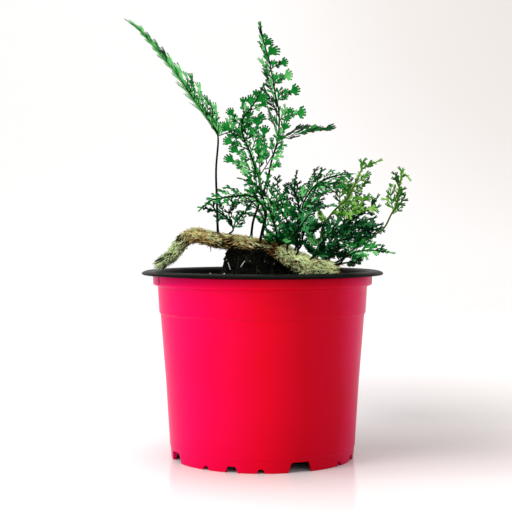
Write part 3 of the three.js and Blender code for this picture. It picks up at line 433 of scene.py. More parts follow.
def add_notches(parts):
    """All the notches round the foot, each with rounded upper corners."""
    for turn in range(4):
        for angle, foot, top, height in FOOT_NOTCHES:
            below, above = foot / 2 + 0.1, top / 2
            outline = rounded([(-below, -1.0), (-above, height), (above, height), (below, -1.0)], 1.1, 5)
            spin = math.radians(angle + 90 * turn)
            first = len(parts.vertices)
            for depth in (43.5, 51.5):
                for x, z in outline:
                    parts.spot(Vector((
                        x * math.cos(spin) + depth * math.sin(spin),
                        x * math.sin(spin) - depth * math.cos(spin), z)))
            count = len(outline)
            parts.cap(first, count, 0)
            parts.cap(first + count, count, 0, True)
            for k in range(count):
                a, b = first + k, first + (k + 1) % count
                parts.add((b, a, a + count, b + count), 0)


def add_drains(parts):
    """The four round drain holes, as upright posts to cut the floors with."""
    for hole in range(4):
        turn = math.radians(45 + 90 * hole)
        foot = Vector((DRAIN_FROM_AXIS * math.cos(turn), DRAIN_FROM_AXIS * math.sin(turn), 5.5))
        centres = [foot, foot + UP * 2.5, foot + UP * 5.5]
        parts.tube(centres, [DRAIN_RADIUS] * 3, DRAIN_SIDES, 0)


def cut_away(obj, *adders):
    """Joins the lathe's points on the axis, then takes the shapes that the adders make out of the object."""
    shape = bmesh.new()
    shape.from_mesh(obj.data)
    bmesh.ops.remove_doubles(shape, verts=shape.verts, dist=1e-6)
    bmesh.ops.delete(shape, geom=[edge for edge in shape.edges if not edge.link_faces], context="EDGES")
    shape.to_mesh(obj.data)
    shape.free()
    parts = Parts()
    for add in adders:
        add(parts)
    cutter = parts.build("cutter", [obj.data.materials[0]])
    cut = obj.modifiers.new("cut", "BOOLEAN")
    cut.operation, cut.solver, cut.object = "DIFFERENCE", "EXACT", cutter
    graph = bpy.context.evaluated_depsgraph_get()
    mesh = bpy.data.meshes.new_from_object(obj.evaluated_get(graph))
    obj.modifiers.clear()
    obj.data = mesh
    bpy.data.objects.remove(cutter)
    smooth_faces(mesh, CUT_SHARP)


def make_wall():
    """The red pot, which is dark inside its hollow foot."""
    profile = [*UNDER, *OUTER[1:], *reversed(inset(RED_THICK, 8.1, 98.4)), (0.0, 8.1)]
    vertices, faces = lathe(rounded(profile, 0.35, 3), POT_SIDES)
    pot = make_object("pot_wall", vertices, faces, [RED_PLASTIC_WITH_PAINTED_SHEEN, DARK_PLASTIC], None, 40)
    cut_away(pot, add_notches, add_drains)
    for face in pot.data.polygons:
        x, y, z = face.center / MM
        if z < UNDER_HEIGHT and math.hypot(x, y) < UNDER_RADIUS:
            face.material_index = 1
    settle(pot, "red_plastic", "pot_outer")


def make_lining():
    """The dark inner pot with its broad rolled lip."""
    outside, inside = LINING_THICK
    profile = [(0.0, 8.5), *inset(outside, 8.5, 98.9), *LIP, *reversed(inset(inside, 9.5, 97.5)), (0.0, 9.5)]
    vertices, faces = lathe(rounded(profile, 0.3, 2), POT_SIDES)
    lining = make_object("pot_rim_and_lining", vertices, faces, [DARK_PLASTIC], None, 50)
    cut_away(lining, add_drains)
    settle(lining, "dark_plastic", "pot_liner")


def make_ticks():
    """Short moulding ticks that stand on the band."""
    parts = Parts()
    for angle in TICK_ANGLES:
        out, side = out_and_side(angle)
        first = len(parts.vertices)
        for z in (94.3, 98.4):
            for across, depth in ((-0.3, 59.1), (0.3, 59.1), (0.22, 59.52), (-0.22, 59.52)):
                parts.spot(out * depth + side * across + Vector((0, 0, z)))
        parts.close(first, 2, 4, 0)
    settle(parts.build("band_ticks", [DARK_PLASTIC]), "dark_plastic")


make_wall()
make_lining()
make_ticks()


# Runners: the three arms of the rhizome, each with its radius at its start, middle and end

KNOT = Vector((9, -13, 112.5))
RUNNERS = {
    "arch": ([
        KNOT, (2, -12, 113.5), (-3.5, -11, 114.5), (-9, -10, 115.5), (-17, -10, 116.5), (-22.5, -10, 117.2),
        (-29, -10, 118.6), (-35, -10, 120), (-40, -11, 118.8), (-43.5, -13, 115.5), (-47, -16, 110.8),
        (-50.5, -18, 107.6), (-54, -20, 105.2),
    ], (3.6, 3.6, 2.4)),
    "right": (
        [KNOT, (14, -22, 109), (19.5, -29, 106), (25, -33.5, 104), (30.5, -36, 103), (35, -37, 102.2)],
        (3.7, 4.1, 3.6)),
    "back": (
        [KNOT, (15, -4, 109), (24, 4, 105.5), (33, 9, 103), (42, 12, 101.8)],
        (3.6, 3.6, 3.2)),
}
TRACKS = {name: Track([Vector(p) for p in points]) for name, (points, _) in RUNNERS.items()}


def runner_radius(name, share):
    first, middle, last = RUNNERS[name][1]
    if share < 0.5:
        return first + (middle - first) * share * 2
    return middle + (last - middle) * (share * 2 - 1)


# Potting mix: a crumbly surface with the steep old root ball in its middle

MIX_LEVEL, MIX_EDGE, MIX_RINGS, MIX_SIDES = 96.5, 54.0, 46, 150
MIX_GAP, MIX_SIDE_HEIGHTS = 3.15, (93.0, 60.0, 30.0, 10.1)
BALL_X, BALL_Y, BALL_TOP, BALL_RADIUS, BALL_DEPTH = -2.5, -3.0, 112.5, 17.5, 0.82
BALL_WALL, BALL_EDGE = 15, 1.15
SURFACE_CRUMBS, SURFACE_ROOTS, SIDE_CRUMBS, SIDE_ROOTS = 2600, 150, 1100, 110
# The chances above which a crumb is bark or perlite, on the surface and on the ball's side
BARK_FROM, PERLITE_FROM = (0.72, 0.84), (0.945, 0.95)
# Two slivers of perlite that stand up on the ball's face: their place across, height and lean
SLIVERS = ((-11.5, 103.5, 0.6), (-17.0, 102.0, -0.3))


def ball_point(turn, radius):
    """A place over the root ball, which is less deep than wide."""
    return BALL_X + radius * math.cos(turn), BALL_Y + radius * math.sin(turn) * BALL_DEPTH


def mix_height(x, y):
    place = Vector((x, y, 0))
    crumbs = 0.9 * noise.noise(place * 0.16) + 0.55 * noise.noise(place * 0.45)
    crumbs += 0.35 * noise.noise(place * 1.1)
    surface = MIX_LEVEL + crumbs
    reach = math.hypot(x - BALL_X, (y - BALL_Y) / BALL_DEPTH) / BALL_RADIUS
    reach += 0.12 * noise.noise(place * 0.12 + Vector((7, 3, 1)))
    if reach >= BALL_EDGE:
        return surface
    top = BALL_TOP - 0.6 + 1.1 * noise.noise(place * 0.2 + Vector((2, 9, 4))) + crumbs * 0.8
    blend = min(1.0, max(0.0, (BALL_EDGE - reach) / 0.32))
    return surface + (top - surface) * (blend * blend * (3 - 2 * blend))


def crumb(parts, draw, centre, size, slot, flat):
    """A small irregular lump: an octahedron with uneven corners."""
    turn = Quaternion(any_way(draw), draw(0, 6.28))
    first = len(parts.vertices)
    for x, y, z in ((1, 0, 0), (0, 1, 0), (-1, 0, 0), (0, -1, 0), (0, 0, 1), (0, 0, -1)):
        spot = Vector((x * draw(0.7, 1.2), y * draw(0.6, 1.1), z * draw(0.6, 1.0) * flat)) * size
        parts.spot(centre + turn @ (spot + jitter(draw, 0.15) * size))
    for a, b in ((0, 1), (1, 2), (2, 3), (3, 0)):
        parts.add((first + a, first + b, first + 4), slot)
        parts.add((first + b, first + a, first + 5), slot)


def add_mix_body(parts):
    """The surface from its middle outwards, then the sides down to the pot's floor."""
    parts.spot(Vector((0, 0, mix_height(0, 0))))
    rings = [(MIX_EDGE * k / MIX_RINGS, None) for k in range(1, MIX_RINGS + 1)]
    rings += [(wall_radius(z) - MIX_GAP, z) for z in MIX_SIDE_HEIGHTS]
    for radius, z in rings:
        for s in range(MIX_SIDES):
            turn = FULL_TURN * s / MIX_SIDES
            x, y = radius * math.cos(turn), radius * math.sin(turn)
            parts.spot(Vector((x, y, mix_height(x, y) if z is None else z)))
    for s in range(MIX_SIDES):
        parts.add((0, 1 + s, 1 + (s + 1) % MIX_SIDES), SOIL)
    parts.wrap(1, len(rings), MIX_SIDES, SOIL, True)
    parts.cap(1 + (len(rings) - 1) * MIX_SIDES, MIX_SIDES, SOIL, True)


def add_surface_crumbs(parts, draw):
    """Soil, bark and perlite: three parts in five all over, and two on the ball."""
    for k in range(SURFACE_CRUMBS):
        turn, radius = draw(0, FULL_TURN), MIX_EDGE * draw(0, 1) ** 0.5 * 0.985
        x, y = radius * math.cos(turn), radius * math.sin(turn)
        if k % 5 < 2:
            x, y = ball_point(turn, BALL_RADIUS * draw(0.3, 1.1))
        kind = draw(0, 1)
        slot, size, flat = SOIL, draw(0.35, 0.9), 0.9
        if kind > BARK_FROM[0]:
            slot, size, flat = BARK, draw(0.5, 1.5), 0.45
        if kind > PERLITE_FROM[0]:
            slot, size, flat = PERLITE, draw(0.35, 1.0), 0.8
        crumb(parts, draw, Vector((x, y, mix_height(x, y) + size * 0.25)), size, slot, flat)


def add_surface_roots(parts, draw):
    """Fine roots that wander over the top of the ball."""
    for _ in range(SURFACE_ROOTS):
        x, y = ball_point(draw(0, FULL_TURN), BALL_RADIUS * draw(0.35, 1.12))
        heading = Vector((draw(-1, 1), draw(-1, 1), 0)).normalized()
        places = []
        for _ in range(6):
            places.append(Vector((x, y, mix_height(x, y) + draw(0.1, 0.6))))
            heading = (heading + Vector((draw(-0.6, 0.6), draw(-0.6, 0.6), 0))).normalized()
            x, y = x + heading.x * 1.5, y + heading.y * 1.5
        parts.tube(places, [draw(0.1, 0.22)] * 6, 4, ROOT)


def ball_face(turn, radius, height):
    """A place on the ball's steep side, height going from 0 at its foot to 1."""
    return Vector((*ball_point(turn, radius), MIX_LEVEL + 0.5 + height * BALL_WALL))


def add_ball_side(parts, draw):
    """Crumbs and roots on the ball's side, and the two slivers of perlite."""
    for _ in range(SIDE_CRUMBS):
        turn, height = draw(0, FULL_TURN), draw(0, 1)
        radius = BALL_RADIUS * (1.02 - 0.14 * height) + draw(-0.8, 1.0)
        kind = draw(0, 1)
        slot = PERLITE if kind > PERLITE_FROM[1] else BARK if kind > BARK_FROM[1] else SOIL
        size = draw(0.35, 0.8) if slot == PERLITE else draw(0.6, 2.2)
        crumb(parts, draw, ball_face(turn, radius, height), size, slot, 0.8)
    for _ in range(SIDE_ROOTS):
        turn, height = draw(0, FULL_TURN), draw(0.1, 0.9)
        places = []
        for step in range(5):
            radius = BALL_RADIUS * (1.04 - 0.14 * height) + 0.9 * math.sin(step * math.pi / 4)
            places.append(ball_face(turn, radius, height))
            turn, height = turn + draw(-0.08, 0.08), max(0.0, min(1.0, height + draw(-0.12, 0.1)))
        parts.tube(places, [0.12, 0.16, 0.16, 0.13, 0.08], 4, ROOT)
    for x, z, lean in SLIVERS:
        foot = Vector((x, BALL_Y - BALL_RADIUS * BALL_DEPTH * 1.06, z))
        way = Vector((math.sin(lean), -0.1, math.cos(lean)))
        parts.tube([foot + way * step for step in (0, 1.4, 2.8, 4.0)], [0.16, 0.24, 0.2, 0.1], 5, PERLITE)


def make_mix():
    draw = make_random(501)
    parts = Parts()
    add_mix_body(parts)
    add_surface_crumbs(parts, draw)
    add_surface_roots(parts, draw)
    add_ball_side(parts, draw)
    settle(parts.build("potting_mix_surface", MIX_LOOKS, 50), "potting_mix", "potting_mix")


make_mix()


# Rhizome: a knobbly stem under a coat of fine hairs that lie along it

RUNNER_ROW, RUNNER_SIDES, RUNNER_END, RUNNER_CLOSE = 1.1, 18, 0.93, 0.072
KNOT_CRUMBS, KNOT_HAIRS = 90, 700
# For each runner the number of broad locks and of fine hairs on it, and their scale
FUR_PLANS = [("arch", 2600, 4000, 1.3), ("right", 1700, 2800, 1.7), ("back", 700, 600, 1.2)]
# The colours of each stretch of fur, from the lightest patches down, each above its limit
FUR_PATCHES = {
    "right": ((-0.08, CREAM), (-0.24, TAN), (-9, DARK)),
    "tip": ((0.06, GREEN), (-0.1, CREAM), (-9, DARK)),
    "shoulder": ((0.3, CREAM), (-0.2, TAN), (-9, BROWN)),
    "old": ((0.4, CREAM), (0.06, TAN), (-0.14, BROWN), (-9, DARK)),
}
ROOTLET = ((-27.6, -11, 114.6), (-27.9, -11.6, 113.4), (-27.5, -12, 112.2), (-28.1, -12.2, 111.2))


def runner_surface(name, share, turn):
    """A point on a runner's skin, with its outward and forward directions."""
    track = TRACKS[name]
    along = track.heading(share * track.total)
    across = level(UP, along)
    outward = across * math.cos(turn) + along.cross(across) * math.sin(turn)
    radius = runner_radius(name, share)
    if share > RUNNER_END:
        radius *= max(0.25, math.sqrt(max(0.0, 1 - ((share - RUNNER_END) / RUNNER_CLOSE) ** 2)))
    place = track.at(share * track.total)
    lump = 1 + 0.09 * noise.noise(place * 0.35 + outward * 0.8)
    lump += 0.05 * noise.noise(place * 0.9 + outward * 2)
    return place + outward * radius * 0.9 * lump, outward, along


def fur_slot(name, share, place, rise, draw):
    """The colour of a lock: patches of light and dark along each runner, pale at the growing tips, and
    painted light and shade, lighter on the runner's top and darker under it.
    """
    patch = noise.noise(place * 0.42) + 0.5 * noise.noise(place * 1.3)
    # Painted light and shade: a lock that faces up leans to the lighter colours, one that faces down to the
    # dark ones
    patch = patch + draw(-0.42, 0.42) + 0.3 * min(0.4, rise)
    if name == "right" and share > 0.12:
        stretch = "right"
    elif name == "arch" and share > draw(0.66, 0.86):
        stretch = "tip"
    elif name == "arch" and 0.5 < share < 0.7:
        stretch = "shoulder"
    else:
        stretch = "old"
    return next(slot for limit, slot in FUR_PATCHES[stretch] if patch > limit)


def hair(parts, root, way, outward, length, thick, slot):
    """A bent three-sided cone that settles back towards the stem at its end."""
    side = way.cross(outward)
    side = side.normalized() if side.length > 1e-4 else Vector((1, 0, 0))
    up = side.cross(way)
    first = len(parts.vertices)
    for share, width in ((0.0, 1.0), (0.55, 0.8)):
        middle = root + way * length * share - outward * (0.10 * length * share * share)
        for s in range(3):
            turn = FULL_TURN * s / 3
            parts.spot(middle + (side * math.cos(turn) + up * math.sin(turn)) * thick * width)
    parts.spot(root + way * length - outward * 0.16 * length)
    for s in range(3):
        a, b = first + s, first + (s + 1) % 3
        parts.add((a, b, b + 3, a + 3), slot)
        parts.add((a + 3, b + 3, first + 6), slot)


def add_fur(parts, draw, name, locks, hairs, scale):
    for k in range(locks + hairs):
        fine = k >= locks
        share, turn = draw(0.0, 1.0), draw(0, FULL_TURN)
        spot, outward, along = runner_surface(name, min(share, 0.995), turn)
        lift = (draw(0.15, 1.25) if fine else draw(0.02, 0.3)) * scale
        sideways = along.cross(outward) * draw(-0.7, 0.7)
        way = (along * (1 if draw(0, 1) > 0.2 else -0.7) + outward * lift + sideways).normalized()
        length = (draw(1.6, 3.8) if fine else draw(3.0, 6.2)) * (0.75 + 0.2 * scale)
        thick = draw(0.09, 0.16) if fine else draw(0.2, 0.4)
        slot = fur_slot(name, share, spot, outward.z, draw)
        hair(parts, spot - outward * 0.15, way, outward, length, thick, slot)


def make_rhizome():
    draw = make_random(733)
    parts = Parts()
    for name in RUNNERS:
        rows = int(TRACKS[name].total / RUNNER_ROW)
        first = len(parts.vertices)
        for k in range(rows + 1):
            for s in range(RUNNER_SIDES):
                parts.spot(runner_surface(name, k / rows, FULL_TURN * s / RUNNER_SIDES)[0])
        parts.close(first, rows + 1, RUNNER_SIDES, CORE)
    for _ in range(KNOT_CRUMBS):
        way = any_way(draw)
        crumb(parts, draw, KNOT + way * 3.1, draw(1.1, 2.0), CORE, 0.8)
    for plan in FUR_PLANS:
        add_fur(parts, draw, *plan)
    for _ in range(KNOT_HAIRS):
        way = any_way(draw)
        slot = (TAN, BROWN, BROWN, DARK, RUST)[int(draw(0, 4.99))]
        curl = (way + Vector((draw(-1, 1), draw(-1, 1), draw(-0.4, 1))) * 0.8).normalized()
        hair(parts, KNOT + way * 4.0, curl, way, draw(2.0, 4.4), draw(0.14, 0.32), slot)
    parts.tube([Vector(p) for p in ROOTLET], [0.35, 0.28, 0.22, 0.12], 5, BROWN)
    settle(parts.build("rhizome_and_fur", FUR_LOOKS, 70), "rhizome_fur", "rhizome")


make_rhizome()


# Fronds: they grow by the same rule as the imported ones, so that each leaflet stands in its own place

# The values of the growth rule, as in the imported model, in millimetres, radians and shares
SOCKET_DEPTH = 2.4
SOCKET_REACH = 5.6
STIPE_RADIUS, FORK_RADIUS, TIP_RADIUS = 0.85, 0.62, 0.42
BLADE, RIB_HALF, LEAFLET_FOOT, FOLD_STEP = 0.62, 0.4, 0.45, 6
FAN_SHARE, FAN_MOST, FAN_HALF, FAN_SPREAD, WIDE_HALF = 0.42, 5.6, 2.3, 0.42, 1.3
STEM_STEP = 10
TIP_REACH = 3.2
# The share of the stem that bears leaflets, how far the left ones lag, their least reach and curl
LEAFLET_SPAN, LEFT_LAG, LEAST_LEAFLET, CURL = 0.94, 0.42, 2.4, 3
RIB_STEP, RIB_STEP_SHARE, RIB_TAPER = 1.3, 0.05, 0.4
UPPER_SHARE, LOWER_SHARE, LEAST_REACH, FADE = 0.42, 0.3, 1.8, 0.8
LOBE_HALF, LOBE_ROOT, LOBE_SPREAD = 1.25, 0.45, 0.16
LOBE_LEAN, LEAN_FALL, LOBE_BEND = 0.8, 0.25, 0.2
EXTRA_CUT, EXTRA_SHARE, EXTRA_HALF, EXTRA_FOOT = 5.2, 0.72, 0.8, 12
LOBE_TRIES = ((1, 1), (1, 0.6), (1, 0.36), (0.8, 0.65), (0.62, 0.75), (0.48, 0.9))
LOBE_GAP, LEAFLET_GAP, FROND_GAP = 0.2, 0.12, 0.4
ROOM_SIZE, ROOM_LINES = 4096, 6
SIDE_REST = (0, 0, 0.1)


class Frond:
    """One frond: the plan that it grows by, its looks, and what it has grown.

    root: its runner and how far along it. fork: which of the stem's points bears the first leaflets.
    face: the leaf's upper side at the fork and, from the share turn on, at the tip. left and right:
    a leaflet's reach, its angle at the fork and at the tip, its fold, roll and curl. basal: how much
    longer the first leaflets are on the left and right, their lift, and their extra angles.
    sleek: how narrow and long the lobes of edge-on leaflets are and how far they swing to the tip,
    and which leaflets those are, by reach and heading. streaks: the right and left reach of the
    pinnules along the stem, and their gap. sprays: the number and reach of the sprays low down.
    stipe: how slim the stem is below the fork. fuller: how broad the lobes are. shift: their leaning
    to pale. strap: the reach from which a leaflet's lobes are longer and broader.
    """

    turn, power, cut, taper, droop = 1, 1, 7.5, 0.7, 0.08
    basal = (1.3, 1.3, 0.3, 0, 0)
    stipe, fuller, shift, strap = 0.72, None, 0.0, math.inf
    sleek, streaks, pale_streaks, sprays = None, (2.4, 2.4, 2.2), 0.4, None
    is_bright = is_comb = is_lacy = False

    def __init__(self, name, tone, root, stem, **plan):
        self.name, self.tone = name, tone
        self.__dict__.update(plan)
        self.face = [Vector(side) for side in self.face]
        points = [Vector(p) for p in stem]
        runner, share = root
        centre = TRACKS[runner].at(share * TRACKS[runner].total)
        outward = (points[0] - centre).normalized()
        self.track = Track([centre + outward * (runner_radius(runner, share) - SOCKET_DEPTH), *points])
        self.length = self.track.total
        self.fork_at = self.track.knot(self.fork + 1)
        self.spots, self.ribs, self.lobes, self.extras = [], [], [], []

    def side_plan(self, side):
        given = self.right if side > 0 else self.left
        return (*given, *SIDE_REST[len(given) - 3:])

    def radius(self, distance):
        fork, total = self.fork_at, self.length
        if distance < fork:
            return STIPE_RADIUS + (FORK_RADIUS - STIPE_RADIUS) * distance / fork
        return FORK_RADIUS + (TIP_RADIUS - FORK_RADIUS) * (distance - fork) / (total - fork)

    def share(self, distance):
        return (distance - self.fork_at) / (self.length - self.fork_at)

    def directions(self, distance, share, side):
        """Along the stem, out of the leaf's upper side, and out to one side."""
        heading = self.track.heading(distance)
        turned = min(1.0, max(0.0, share) / self.turn)
        up = level(self.face[0].lerp(self.face[1], turned), heading)
        return heading, up, heading.cross(up) * side

    def add_spot(self, place):
        self.spots.append(place)
        return len(self.spots) - 1


